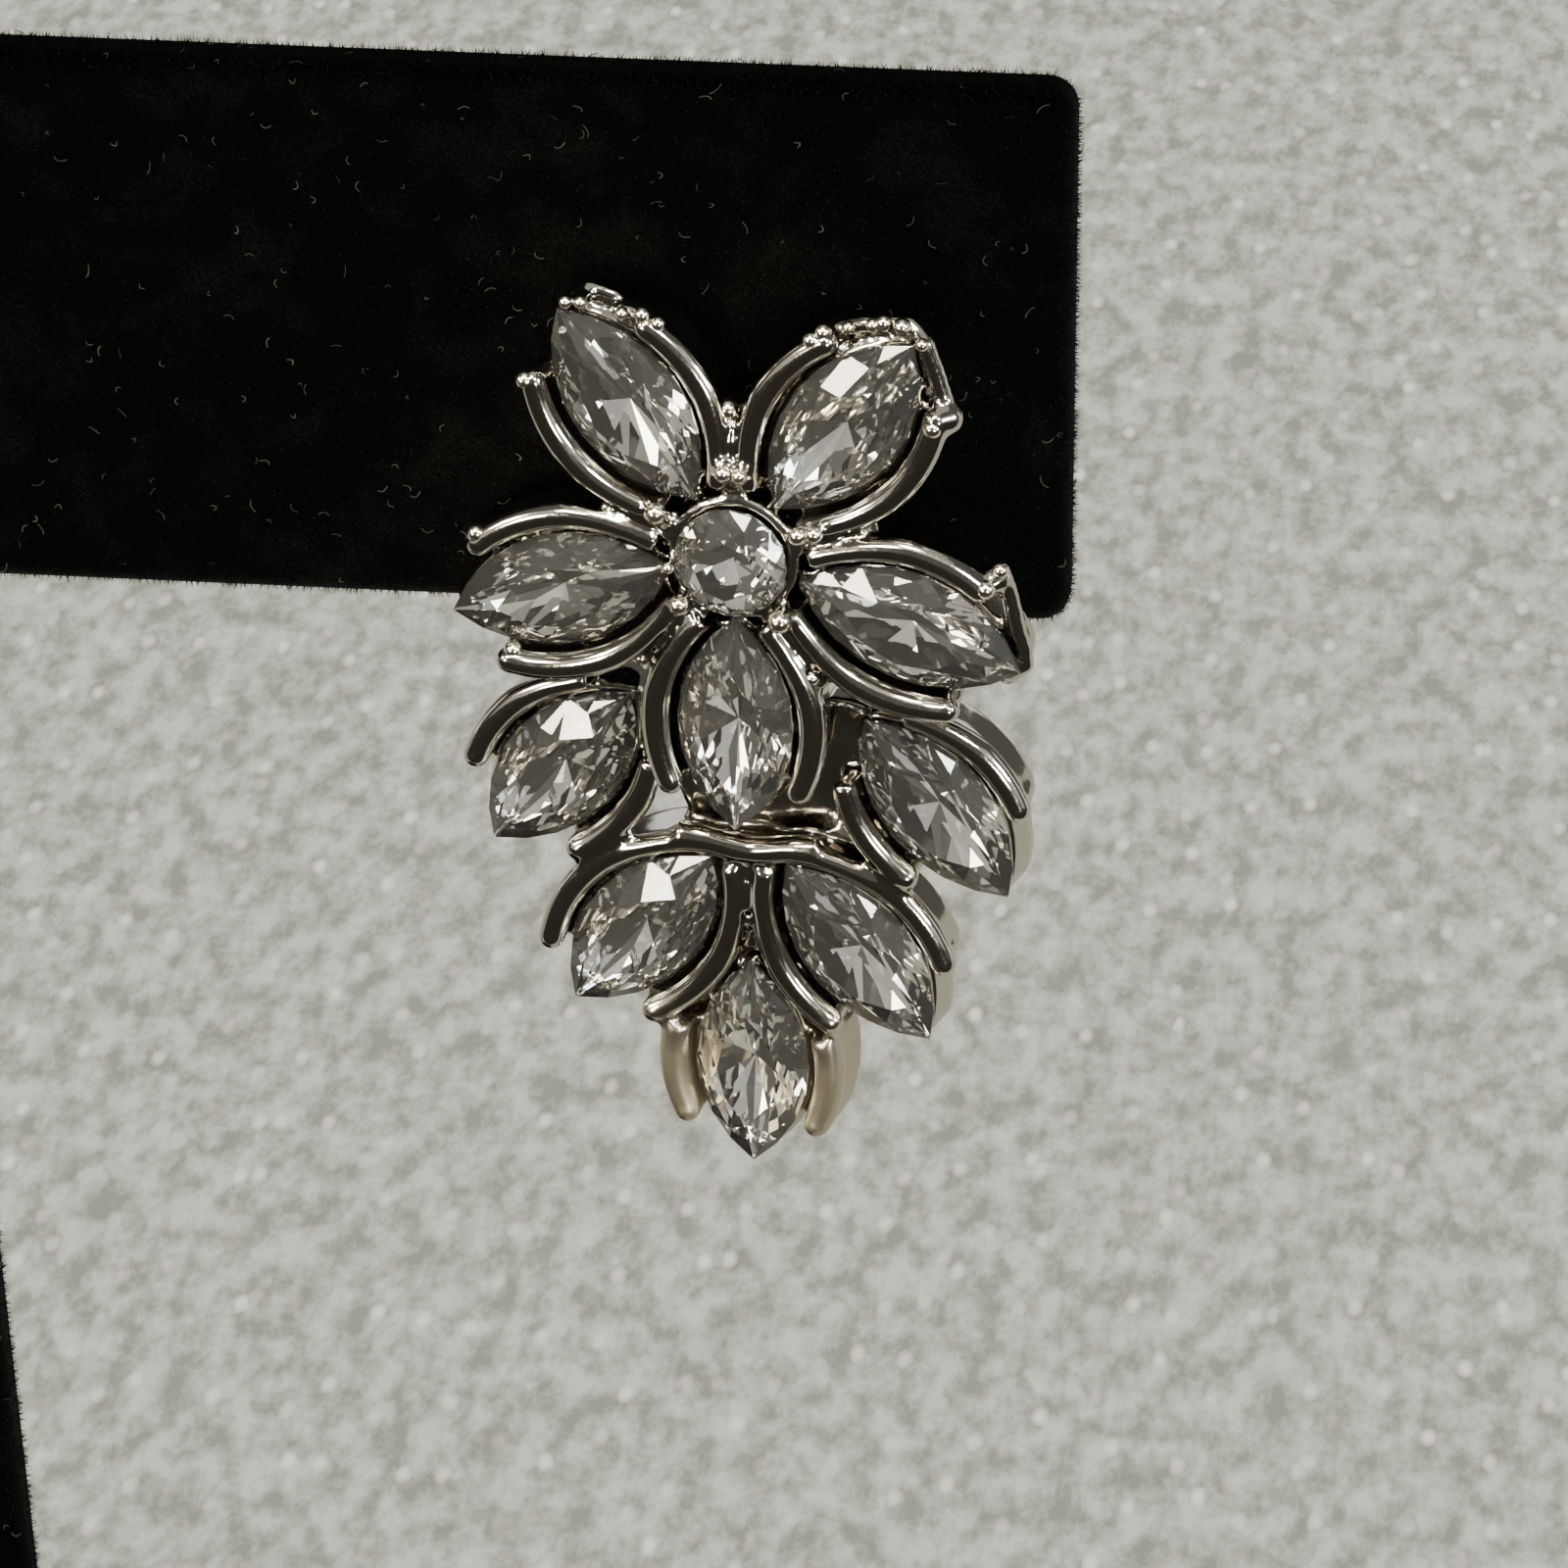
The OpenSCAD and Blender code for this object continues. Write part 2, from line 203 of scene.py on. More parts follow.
@dataclass(frozen=True)
class JewelPlace:
    """Where the flower sits on the stand's arm."""

    centre: Point = (41.32005, -5.79947, 78.5)
    turn: float = 8.5

    def matrix(self) -> Matrix:
        """Return the matrix from jewel millimetres to world metres."""
        return (Matrix.Scale(MM, 4) @ Matrix.Translation(self.centre)
                @ Matrix.Rotation(radians(-self.turn), 4, "Z")
                @ Matrix.Rotation(radians(90), 4, "X"))


@dataclass(frozen=True)
class DropPlace(JewelPlace):
    """Where the drop hangs, leaning about the hinge pin behind the flower."""

    lean: float = 2.5

    def matrix(self) -> Matrix:
        """Return the matrix from the drop's millimetres to world metres."""
        return (super().matrix() @ Matrix.Translation((0, -PIN_DOWN, -PIN_BACK))
                @ Matrix.Rotation(radians(self.lean), 4, "X")
                @ Matrix.Translation((0, PIN_DOWN, PIN_BACK - DROP_BACK)))


# Finishes


def new_material(name: str) -> tuple[Material, Adder, NodeSocket]:
    """Make an empty node material.

    Args:
        name: The material's name.

    Returns:
        The material, the function that adds its nodes, and its Object coordinates.
    """
    material = bpy.data.materials.new(name)
    material.use_nodes = True
    material.node_tree.nodes.clear()
    add = partial(add_node, material.node_tree)
    return material, add, add("ShaderNodeTexCoord").outputs["Object"]


def two_tones(add: Adder, value: Any, span: Flat, dark: str, light: str) -> Node:
    """Go from a dark tone to a light one as a value of the surface rises.

    Args:
        add: The function that adds the material's nodes.
        value: The node or socket that gives the value.
        span: The value up to which the surface is dark, and the one from which it is light.
        dark: The dark tone, in hex.
        light: The light tone, in hex.

    Returns:
        The node that gives the colour.
    """
    share = add("ShaderNodeMapRange", {"Value": value, "From Min": span[0], "From Max": span[1]},
                clamp=True)
    return add("ShaderNodeMix", {"Factor": share, "A": linear(dark), "B": linear(light)},
               data_type="RGBA")


@dataclass(frozen=True)
class PolishedPlate:
    """Cast white metal, tumbled, polished and plated silver-tone."""

    name: str = "silver_tone_plate_on_polished_casting"
    bright: str = "#C4C0B6"
    # The dark brownish tone below is painted shade for the hollows, and shade_reach_mm is how far
    # the AO node looks for them
    painted_shade: str = "#4A433A"
    roughness: float = 0.09
    ripple_mm: float = 0.9
    ripple_height_mm: float = 0.012
    shade_reach_mm: float = 1.4
    shade_span: Flat = (0.3, 0.8)
    grain_mm: float = 0.12
    worn: str = "#ADA48F"
    worn_roughness: float = 0.4
    worn_from: float = 0.0
    worn_to: float = -0.01

    def material(self) -> Material:
        """Make the plated metal, mirror-like, with a slow casting ripple and painted shade in its
        hollows.

        Returns:
            The material, rubbed between the world heights worn_from and worn_to.
        """
        material, add, place = new_material(self.name)
        # Tumbling leaves a slow ripple, which breaks long reflections into soft pieces
        ripple = add("ShaderNodeTexNoise",
                     {"Vector": place, "Scale": 1 / (self.ripple_mm * MM), "Detail": 1.0})
        bump = add("ShaderNodeBump",
                   {"Height": ripple, "Strength": 1.0, "Distance": self.ripple_height_mm * MM})
        # Fine pits show as a faint change of gloss
        grain = add("ShaderNodeTexNoise",
                    {"Vector": place, "Scale": 1 / (self.grain_mm * MM), "Detail": 3.0})
        gloss = add("ShaderNodeMapRange",
                    {"Value": grain, "From Min": 0.35, "From Max": 0.7,
                     "To Min": self.roughness * 0.7, "To Max": self.roughness * 1.6})
        # Painted shade: where the AO node finds the metal hemmed in, its colour goes to a dark
        # brownish tone
        painted_shade_ao = add("ShaderNodeAmbientOcclusion", {"Distance": self.shade_reach_mm * MM},
                      only_local=True, samples=8)
        colour = two_tones(add, painted_shade_ao.outputs["AO"], self.shade_span, self.painted_shade, self.bright)
        # The lowest seat touches clothes and boxes, which rub its plate to a warm satin
        height = add("ShaderNodeSeparateXYZ", {"Vector": place}).outputs["Z"]
        low = add("ShaderNodeMapRange", {"Value": height, "From Min": self.worn_from,
                                         "From Max": self.worn_to}, clamp=True)
        rubbed = add("ShaderNodeMix", {"Factor": low, "A": colour, "B": linear(self.worn)},
                     data_type="RGBA")
        satin = add("ShaderNodeMix", {"Factor": low, "A": gloss, "B": self.worn_roughness},
                    data_type="FLOAT")
        shader = add("ShaderNodeBsdfPrincipled",
                     {"Base Color": rubbed, "Metallic": 1.0, "Roughness": satin, "Normal": bump})
        add("ShaderNodeOutputMaterial", {"Surface": shader})
        return material


@dataclass(frozen=True)
class DrawnSteel:
    """Steel wire drawn through a die, with fine lines along it."""

    name: str = "drawn_surgical_steel_wire"
    colour: str = "#B9B6AF"
    roughness: float = 0.24
    line_mm: float = 0.05
    line_depth_mm: float = 0.002
    line_stretch: float = 0.06

    def material(self) -> Material:
        """Make the drawn steel, greyer than the plate, with fine drawing lines.

        Returns:
            The material.
        """
        material, add, place = new_material(self.name)
        # The die draws its lines along the post, which lies nearly along Y
        along = add("ShaderNodeMapping", {"Vector": place, "Scale": (1.0, self.line_stretch, 1.0)})
        lines = add("ShaderNodeTexNoise",
                    {"Vector": along, "Scale": 1 / (self.line_mm * MM), "Detail": 2.0})
        gloss = add("ShaderNodeMapRange", {"Value": lines, "To Min": self.roughness * 0.8,
                                           "To Max": self.roughness * 1.3})
        bump = add("ShaderNodeBump",
                   {"Height": lines, "Strength": 0.6, "Distance": self.line_depth_mm * MM})
        shader = add("ShaderNodeBsdfPrincipled",
                     {"Base Color": linear(self.colour), "Metallic": 1.0, "Roughness": gloss,
                      "Normal": bump})
        add("ShaderNodeOutputMaterial", {"Surface": shader})
        return material


@dataclass(frozen=True)
class FoiledCrystal:
    """Cut and polished lead crystal with silver foil fired on the facets below the girdle.

    The stones of one plane share it: up is the way they face in the world, and foil_level
    the height along up, in metres, below which the foil lies.
    """

    name: str
    up: Vector
    foil_level: float
    glass: str = "#F8F7F2"
    foil: str = "#F2F3F3"
    foil_dark: str = "#DCDBD8"
    index: float = 1.56
    clear: float = 0.988
    cloud_mm: float = 1.6
    cloud_span: Flat = (0.38, 0.6)

    def material(self) -> Material:
        """Make the crystal, clear glass above the girdle and a mirror foil below it.

        Returns:
            The material.
        """
        material, add, place = new_material(self.name)
        height = add("ShaderNodeVectorMath", {0: place, 1: self.up}, operation="DOT_PRODUCT")
        foiled = add("ShaderNodeMath", {0: height, 1: self.foil_level}, operation="LESS_THAN")
        # Foil is pressed on unevenly: its clouds are the darker patches seen in the stone
        cloud = add("ShaderNodeTexNoise",
                    {"Vector": place, "Scale": 1 / (self.cloud_mm * MM), "Detail": 2.0})
        colour = two_tones(add, cloud, self.cloud_span, self.foil_dark, self.foil)
        back = add("ShaderNodeBsdfPrincipled",
                   {"Base Color": colour, "Metallic": 1.0, "Roughness": 0.03})
        # Polished glass: sharp white glints on the crown, and light that reaches the foil.
        # Handling leaves a thin film on it, which veils the dark facets with a little grey
        crown = add("ShaderNodeBsdfPrincipled",
                    {"Base Color": linear(self.glass), "Roughness": 0.0, "IOR": self.index,
                     "Transmission Weight": self.clear})
        both = add("ShaderNodeMixShader", {0: foiled, 1: crown, 2: back})
        add("ShaderNodeOutputMaterial", {"Surface": both})
        return material


@dataclass(frozen=True)
class VelvetCloth:
    """Black cotton velvet with a short dense pile, glued over board."""

    name: str = "black_velvet_with_short_pile"
    ground: str = "#0C0E0D"
    brushed: str = "#2A2D2B"
    rim: str = "#8C8C90"
    sheen: float = 0.5
    patch_mm: float = 3.0
    patch_span: Flat = (0.24, 0.46)
    pile_mm: float = 0.16
    pile_depth_mm: float = 0.12

    def material(self) -> Material:
        """Make the cloth, near black, with brushed patches and a soft rim of sheen.

        Returns:
            The material.
        """
        material, add, place = new_material(self.name)
        # Handling leaves patches where the pile leans and looks a little lighter
        patch = add("ShaderNodeTexNoise", {"Vector": place, "Scale": 1 / (self.patch_mm * MM),
                                           "Detail": 4.0, "Distortion": 0.6})
        # The tufts themselves, which break up the light like fine grain
        pile = add("ShaderNodeTexNoise", {"Vector": place, "Scale": 1 / (self.pile_mm * MM),
                                          "Detail": 4.0, "Roughness": 0.7})
        both = add("ShaderNodeMath", {0: patch, 1: pile}, operation="MULTIPLY")
        colour = two_tones(add, both, self.patch_span, self.ground, self.brushed)
        bump = add("ShaderNodeBump",
                   {"Height": pile, "Strength": 1.0, "Distance": self.pile_depth_mm * MM})
        shader = add("ShaderNodeBsdfPrincipled",
                     {"Base Color": colour, "Roughness": 0.95, "Specular IOR Level": 0.1,
                      "Sheen Weight": self.sheen, "Sheen Roughness": 0.4,
                      "Sheen Tint": linear(self.rim), "Normal": bump})
        add("ShaderNodeOutputMaterial", {"Surface": shader})
        return material


@dataclass(frozen=True)
class Fibre:
    """Loose textile fibre: the black pile, the pale lint threads on it, and the felt of the card
    that the metal mirrors in place of shade.
    """

    name: str
    dark: str
    light: str
    sheen: float = 0.1
    tone_mm: float = 0.7

    def material(self) -> Material:
        """Make the fibre's finish.

        Returns:
            The material.
        """
        material, add, place = new_material(self.name)
        # Dyed fibre is matt, and its tone changes a little from one fibre to the next
        noise = add("ShaderNodeTexNoise", {"Vector": place, "Scale": 1 / (self.tone_mm * MM)})
        colour = add("ShaderNodeMix", {"Factor": noise, "A": linear(self.dark),
                                       "B": linear(self.light)}, data_type="RGBA")
        shader = add("ShaderNodeBsdfPrincipled",
                     {"Base Color": colour, "Roughness": 0.85, "Specular IOR Level": 0.2,
                      "Sheen Weight": self.sheen})
        add("ShaderNodeOutputMaterial", {"Surface": shader})
        return material


@dataclass(frozen=True)
class PaleTable:
    """The pale, softly mottled table top on which the stand is set."""

    name: str = "pale_matt_table_top"
    light: str = "#D4D4CA"
    dark: str = "#95968C"
    # The near-white tone of the painted highlights on the table top
    painted_glint: str = "#FFFAF0"
    mottle_mm: float = 1.7
    mottle_span: Flat = (0.38, 0.62)
    glint_spacing_mm: float = 3.2
    stretch: float = 0.45

    def material(self) -> Material:
        """Make the table's finish, matt and pale, with a faint mottle.

        Returns:
            The material.
        """
        material, add, place = new_material(self.name)
        # The grain of the table top runs lengthwise, from front to back
        along = add("ShaderNodeMapping", {"Vector": place, "Scale": (1.0, self.stretch, 1.0)})
        mottle = add("ShaderNodeTexNoise", {"Vector": along, "Scale": 1 / (self.mottle_mm * MM),
                                            "Detail": 6.0, "Roughness": 0.62})
        ground = two_tones(add, mottle, self.mottle_span, self.dark, self.light)
        # Painted highlights: soft pale spots, a few to each square centimetre, that stand in for
        # blurred glints on the table top
        cell = add("ShaderNodeTexVoronoi", {"Vector": along, "Scale": 1 / (self.glint_spacing_mm * MM)},
                   voronoi_dimensions="2D")
        glint_spot = add("ShaderNodeMapRange", {"Value": cell, "From Min": 0.05, "From Max": 0.15,
                                          "To Min": 1.0, "To Max": 0.0}, clamp=True)
        painted_glint_share = add("ShaderNodeMath", {0: glint_spot, 1: cell.outputs["Color"]}, operation="MULTIPLY")
        colour = add("ShaderNodeMix", {"Factor": painted_glint_share, "A": ground, "B": linear(self.painted_glint)},
                     data_type="RGBA")
        shader = add("ShaderNodeBsdfPrincipled",
                     {"Base Color": colour, "Roughness": 0.7, "Specular IOR Level": 0.3})
        add("ShaderNodeOutputMaterial", {"Surface": shader})
        return material


# Guides of a casting


class GuideKind(Enum):
    """What the Geometry Nodes tree makes of a guide."""

    SOLID = 0
    BAR = 1
    WALL = 2
    BEAD = 3
    MACHINED = 4
    CLAW = 5


@dataclass
class GuideMesh:
    """Collects the guides of a casting as one mesh with a kind and a radius on each point."""

    points: list[Point] = field(default_factory=list)
    edges: list[tuple[int, int]] = field(default_factory=list)
    faces: list[list[int]] = field(default_factory=list)
    kinds: list[int] = field(default_factory=list)
    radii: list[float] = field(default_factory=list)

    def add(self, kind: GuideKind, points: Iterable[Point], radii: float | list[float]) -> int:
        """Add points of one kind.

        Args:
            kind: What they guide.
            points: Their places.
            radii: Their radius, or the radius of each.

        Returns:
            The number of the first of them.
        """
        first = len(self.points)
        self.points += [tuple(float(v) for v in p) for p in points]
        count = len(self.points) - first
        self.kinds += [kind.value] * count
        self.radii += radii if isinstance(radii, list) else [radii] * count
        return first

    def path(self, kind: GuideKind, points: Iterable[Point], radii: float | list[float]) -> None:
        """Add a path for a bar or a wall.

        Args:
            kind: BAR or WALL.
            points: The points of the path, in order.
            radii: The bar's radius, or the wall's scale, or that at each point.
        """
        first = self.add(kind, points, radii)
        self.edges += [(k, k + 1) for k in range(first, len(self.points) - 1)]

    def bead(self, place: Point, radius: float, kind: GuideKind = GuideKind.BEAD) -> None:
        """Add a BEAD, which fuses with the casting, or a CLAW, whose head stays a ball."""
        self.add(kind, [place], radius)

    def rings(self, rings: list[Ring], kind: GuideKind = GuideKind.SOLID,
              closed: bool = False) -> None:
        """Add a closed solid that runs through rings of points.

        Args:
            rings: Rings with the same number of points.
            kind: SOLID, or MACHINED for a solid that is left sharp and exact.
            closed: True joins the last ring to the first, otherwise both ends are capped.
        """
        count = len(rings[0])
        first = self.add(kind, [p for ring in rings for p in ring], 1.0)
        starts = [first + k * count for k in range(len(rings))]
        pairs = [*zip(starts, starts[1:])]
        if closed:
            pairs.append((starts[-1], first))
        for a, b in pairs:
            self.faces += [[a + k, a + (k + 1) % count, b + (k + 1) % count, b + k]
                           for k in range(count)]
        if not closed:
            self.faces.append([first + count - 1 - k for k in range(count)])
            self.faces.append([starts[-1] + k for k in range(count)])

    def slab(self, outline: Iterable[Flat], back: float, front: float) -> None:
        """Add a flat bar with this counter-clockwise outline between two heights."""
        self.rings([[(x, y, z) for x, y in outline] for z in (back, front)])

    def eye(self, ends: Flat, pin: Flat, outer: list[float], hole: float) -> None:
        """Add a machined eye round the hinge pin.

        Args:
            ends: Its ends along the pin, the left one first.
            pin: The pin's place, up and forward.
            outer: Its radius in each direction, the first one up, turning to the front.
            hole: The radius of its hole.
        """
        count, inner = len(outer), [hole] * len(outer)
        self.rings([[(x, pin[0] + r * cos(tau * k / count), pin[1] + r * sin(tau * k / count))
                     for k, r in enumerate(radii)]
                    for x, radii in zip((*ends, *reversed(ends)), (outer, outer, inner, inner))],
                   GuideKind.MACHINED, closed=True)

    def piece(self, name: str) -> Object:
        """Make an object of the guides.

        Args:
            name: The object's name.

        Returns:
            The object, whose mesh has the attributes kind and radius.
        """
        piece = mesh_object(name, self.points, self.edges, self.faces)
        made = piece.data.attributes
        made.new("kind", "INT", "POINT").data.foreach_set("value", self.kinds)
        made.new("radius", "FLOAT", "POINT").data.foreach_set("value", self.radii)
        return piece


@dataclass(frozen=True)
class CastingTree:
    """The Geometry Nodes tree that sweeps a casting's guides, fuses them and fills corners."""

    bar_sides: int = 16
    ball_splits: int = 3
    skin_voxels: int = 4

    def build(self) -> NodeTree:
        """Build the tree, with its sizes as named inputs.

        Returns:
            The tree.
        """
        tree, add, given = new_tree("fused_casting", {
            "Voxel": 0.13, "Corner Fill": 0.14, "Bar Height": 0.95, "Wall Thickness": 0.8,
            "Wall Height": 2.54, "Soften Steps": 4, "Bubble Points": 60.0, "Metal": None,
            "Claw Metal": None})
        kind = add("GeometryNodeInputNamedAttribute", {"Name": "kind"}, data_type="INT")
        radius = add("GeometryNodeInputNamedAttribute", {"Name": "radius"}, data_type="FLOAT")

        def only(which: GuideKind) -> Node:
            """Return the guides of one kind."""
            same = add("FunctionNodeCompare", {"A": kind, "B": which.value}, data_type="INT",
                       operation="EQUAL")
            return add("GeometryNodeSeparateGeometry",
                       {"Geometry": given["Geometry"], "Selection": same})

        flat = add("ShaderNodeCombineXYZ", {"X": 1.0, "Y": given["Bar Height"], "Z": 1.0})
        circle = add("GeometryNodeCurvePrimitiveCircle",
                     {"Resolution": self.bar_sides, "Radius": 1.0})
        oval = add("GeometryNodeTransform", {"Geometry": circle, "Scale": flat})
        quad = add("GeometryNodeCurvePrimitiveQuadrilateral",
                   {"Width": given["Wall Thickness"], "Height": given["Wall Height"]})
        ball = add("GeometryNodeMeshIcoSphere", {"Radius": 1.0, "Subdivisions": self.ball_splits})

        def swept(which: GuideKind, profile: Node) -> Node:
            """Sweep a profile along the guides of one kind.

            Args:
                which: The kind.
                profile: The node that gives the profile.

            Returns:
                The node that gives the swept mesh.
            """
            curve = add("GeometryNodeMeshToCurve", {"Mesh": only(which)})
            level = add("GeometryNodeSetCurveNormal", {"Curve": curve}, mode="Z_UP")
            return add("GeometryNodeCurveToMesh", {"Curve": level, "Profile Curve": profile,
                                                   "Scale": radius, "Fill Caps": True})

        def balls(which: GuideKind) -> Node:
            """Return a ball at each guide of one kind."""
            beads = add("GeometryNodeInstanceOnPoints",
                        {"Points": only(which), "Instance": ball, "Scale": radius})
            return add("GeometryNodeRealizeInstances", {"Geometry": beads})

        skin = add("GeometryNodeJoinGeometry",
                   {"Geometry": [balls(GuideKind.BEAD), swept(GuideKind.WALL, quad),
                                 swept(GuideKind.BAR, oval), only(GuideKind.SOLID)]})
        # Grown by the corner fill and shrunk back, the parts fuse with cast fillets between
        less = add("ShaderNodeMath", {0: given["Corner Fill"], 1: -1.0}, operation="MULTIPLY")
        for level in (given["Corner Fill"], less):
            grid = add("GeometryNodeMeshToSDFGrid", {"Mesh": skin, "Voxel Size": given["Voxel"],
                                                     "Band Width": self.skin_voxels})
            skin = add("GeometryNodeGridToMesh", {"Grid": grid, "Threshold": level})
        place = add("GeometryNodeInputPosition")
        blurred = add("GeometryNodeBlurAttribute",
                      {"Value": place, "Iterations": given["Soften Steps"]},
                      data_type="FLOAT_VECTOR")
        # Bubbles that are closed inside the metal are left out
        island = add("GeometryNodeInputMeshIsland")
        size = add("GeometryNodeAccumulateField", {"Group ID": island},
                   domain="POINT").outputs["Total"]
        bubble = add("FunctionNodeCompare", {"A": size, "B": given["Bubble Points"]},
                     data_type="FLOAT", operation="LESS_THAN")
        solid = add("GeometryNodeDeleteGeometry", {"Geometry": skin, "Selection": bubble},
                    domain="POINT")
        soft = add("GeometryNodeSetPosition", {"Geometry": solid, "Position": blurred})
        # The claws' heads were rounded with a cup burr after casting, so they stay crisp balls
        smooth, heads = (add("GeometryNodeSetShadeSmooth", {"Geometry": part})
                         for part in (soft, balls(GuideKind.CLAW)))
        body = add("GeometryNodeJoinGeometry", {"Geometry": [only(GuideKind.MACHINED), smooth]})
        parts = [add("GeometryNodeSetMaterial", {"Geometry": part, "Material": given[metal]})
                 for part, metal in ((heads, "Claw Metal"), (body, "Metal"))]
        whole = add("GeometryNodeJoinGeometry", {"Geometry": parts})
        real = add("GeometryNodeRealizeInstances", {"Geometry": whole})
        add("NodeGroupOutput", {"Geometry": real})
        return tree


# Forms of the castings


@dataclass(frozen=True)
class MarquiseSeat:
    """One marquise stone's seat: an open cup, and a rail on each side of the stone.

    Heights are above the stone's girdle. Left and right give each rail's two ends, in
    degrees from its side's middle, inwards negative. Flank says how far each rail's outer
    side spreads towards the back, 0 for a plain wall.
    """

    middle: Flat
    outward: float
    left: Flat
    right: Flat
    flank: Flat = (0.0, 0.0)
    stone_len: float = 10.0
    stone_wid: float = 5.0
    tip_reach: float = 0.12
    arc_points: int = 14
    rail_gap: float = 0.3
    bar_r: float = 0.66
    slim_r: float = 0.5
    slim_until: float = -30
    full_from: float = -10
    rail_step: float = 2.0
    taper: float = 0.1
    end_ball: float = 1.02
    crest: float = 0.85
    bar_height: float = 0.95
    wall_out: float = 0.4
    wall_level: float = -1.15
    post_r: float = 0.46
    post_foot: float = 0.5
    flank_in: float = 0.3
    flank_lap: float = 0.12
    back: float = -2.5
    floor: float = -2.1
    ledge: float = -0.45
    ledge_edge: float = 0.02
    ledge_in: float = 0.35
    shoulder: float = -1.5
    cup_wall: float = 0.1

    @property
    def arc_r(self) -> float:
        """Radius of the two arcs of the stone's outline."""
        return (self.stone_len ** 2 + self.stone_wid ** 2) / (4 * self.stone_wid)

    @property
    def arc_off(self) -> float:
        """Distance of the arcs' centres from the stone's long axis."""
        return self.arc_r - self.stone_wid / 2

    def place(self, x: float, y: float, z: float) -> Point:
        """Return the casting's point at x outwards, y to the left of that and height z."""
        turn = radians(self.outward)
        return (self.middle[0] + x * cos(turn) - y * sin(turn),
                self.middle[1] + x * sin(turn) + y * cos(turn), z)

    def outline(self, radius: float, height: float) -> Ring:
        """Draw a marquise ring.

        Args:
            radius: Radius of its two arcs.
            height: Its height above the girdle.

        Returns:
            The ring, counter-clockwise.
        """
        half = acos(self.arc_off / radius)
        blunt = self.stone_len / 2 + self.tip_reach
        ring: Ring = []
        for side in (1, -1):
            for k in range(self.arc_points):
                turn = half * (1 - 2 * k / self.arc_points)
                along = max(-blunt, min(blunt, side * radius * sin(turn)))
                across = side * (radius * cos(turn) - self.arc_off)
                ring.append(self.place(along, across, height))
        return ring

    def rail_radius(self, turn: float) -> float:
        """Return the radius of a rail at a turn. It is slim where two seats meet."""
        share = (turn - self.slim_until) / (self.full_from - self.slim_until)
        return self.slim_r + (self.bar_r - self.slim_r) * min(1.0, max(0.0, share))

    def beside(self, side: int, turn: float, reach: float, height: float) -> Point:
        """Return the point at a turn on a side (left 1, right -1) and reach off the girdle."""
        r, t = self.arc_r + reach, radians(turn)
        return self.place(r * sin(t), side * (r * cos(t) - self.arc_off), height)

    def draw_rail(self, guides: GuideMesh, side: int, ends: Flat, flank: float) -> None:
        """Add one rail with the wall that carries it.

        Args:
            guides: The casting's guides.
            side: 1 for the left side, -1 for the right.
            ends: Where it starts and ends.
            flank: How far its outer side spreads towards the back.
        """
        start, end = ends
        count = max(3, int(abs(end - start) / self.rail_step))
        turns = [start + (end - start) * k / count for k in range(count + 1)]
        radii = [self.rail_radius(t) * (1 - self.taper * (k / count) ** 3)
                 for k, t in enumerate(turns)]
        path = [self.beside(side, t, self.rail_gap + r, self.crest - r * self.bar_height)
                for t, r in zip(turns, radii)]
        guides.path(GuideKind.BAR, path, radii)
        guides.bead(path[-1], radii[-1] * self.end_ball)
        out = self.rail_gap + self.wall_out
        foot, post_r = (self.rail_gap + radii[-1], radii[-1]) if flank else (out, self.post_r)
        low_end = self.beside(side, end, foot, self.back + self.post_foot)
        guides.path(GuideKind.BAR, [low_end, path[-1]], post_r)
        guides.path(GuideKind.WALL, [self.beside(side, t, out, self.wall_level) for t in turns],
                    1.0)
        if flank:
            inner, top = self.rail_gap + self.flank_in, self.crest - self.bar_r
            outer = self.rail_gap + 2 * self.bar_r - self.flank_lap
            corners = ((inner, self.back), (outer + flank, self.back), (outer, top), (inner, top))
            guides.rings([[self.beside(side, t, *corner) for corner in corners] for t in turns
                          if t > self.slim_until])

    def draw(self, guides: GuideMesh) -> None:
        """Add the seat's cup and rails to a casting.

        Args:
            guides: The casting's guides.
        """
        wall = self.arc_r + self.rail_gap + self.cup_wall
        inner = self.arc_r - self.ledge_in
        guides.rings([self.outline(radius, height) for radius, height in (
            (wall, self.back), (wall, self.shoulder), (self.arc_r - self.ledge_edge, self.ledge),
            (inner, self.ledge), (inner, self.floor))])
        self.draw_rail(guides, 1, self.left, self.flank[0])
        self.draw_rail(guides, -1, self.right, self.flank[1])


def circle(radius: float, height: float, count: int = 40) -> Ring:
    """Return a flat counter-clockwise ring of points round the flower's axis."""
    return [(radius * cos(tau * k / count), radius * sin(tau * k / count), height)
            for k in range(count)]


@dataclass
class Casting:
    """What the two castings share: their metal, the tree that casts it and their place.

    The voxel is the size of the cells in which the metal fuses, and the eye points are the
    corners of each round the hinge pin.
    """

    metal: Material
    claw_metal: Material
    tree: NodeTree
    place: JewelPlace = JewelPlace()
    voxel: float = 0.136
    soften_steps: int = 3
    eye_points: int = 48

    def cast(self, guides: GuideMesh, name: str) -> Object:
        """Cast the guides in metal.

        Args:
            guides: The casting's guides.
            name: The casting's name.

        Returns:
            The casting, in its place in the world.
        """
        piece = guides.piece(name)
        run_tree(piece, self.tree, {"Voxel": self.voxel, "Soften Steps": self.soften_steps,
                                    "Metal": self.metal, "Claw Metal": self.claw_metal})
        piece.data.transform(self.place.matrix())
        return piece


# The flower


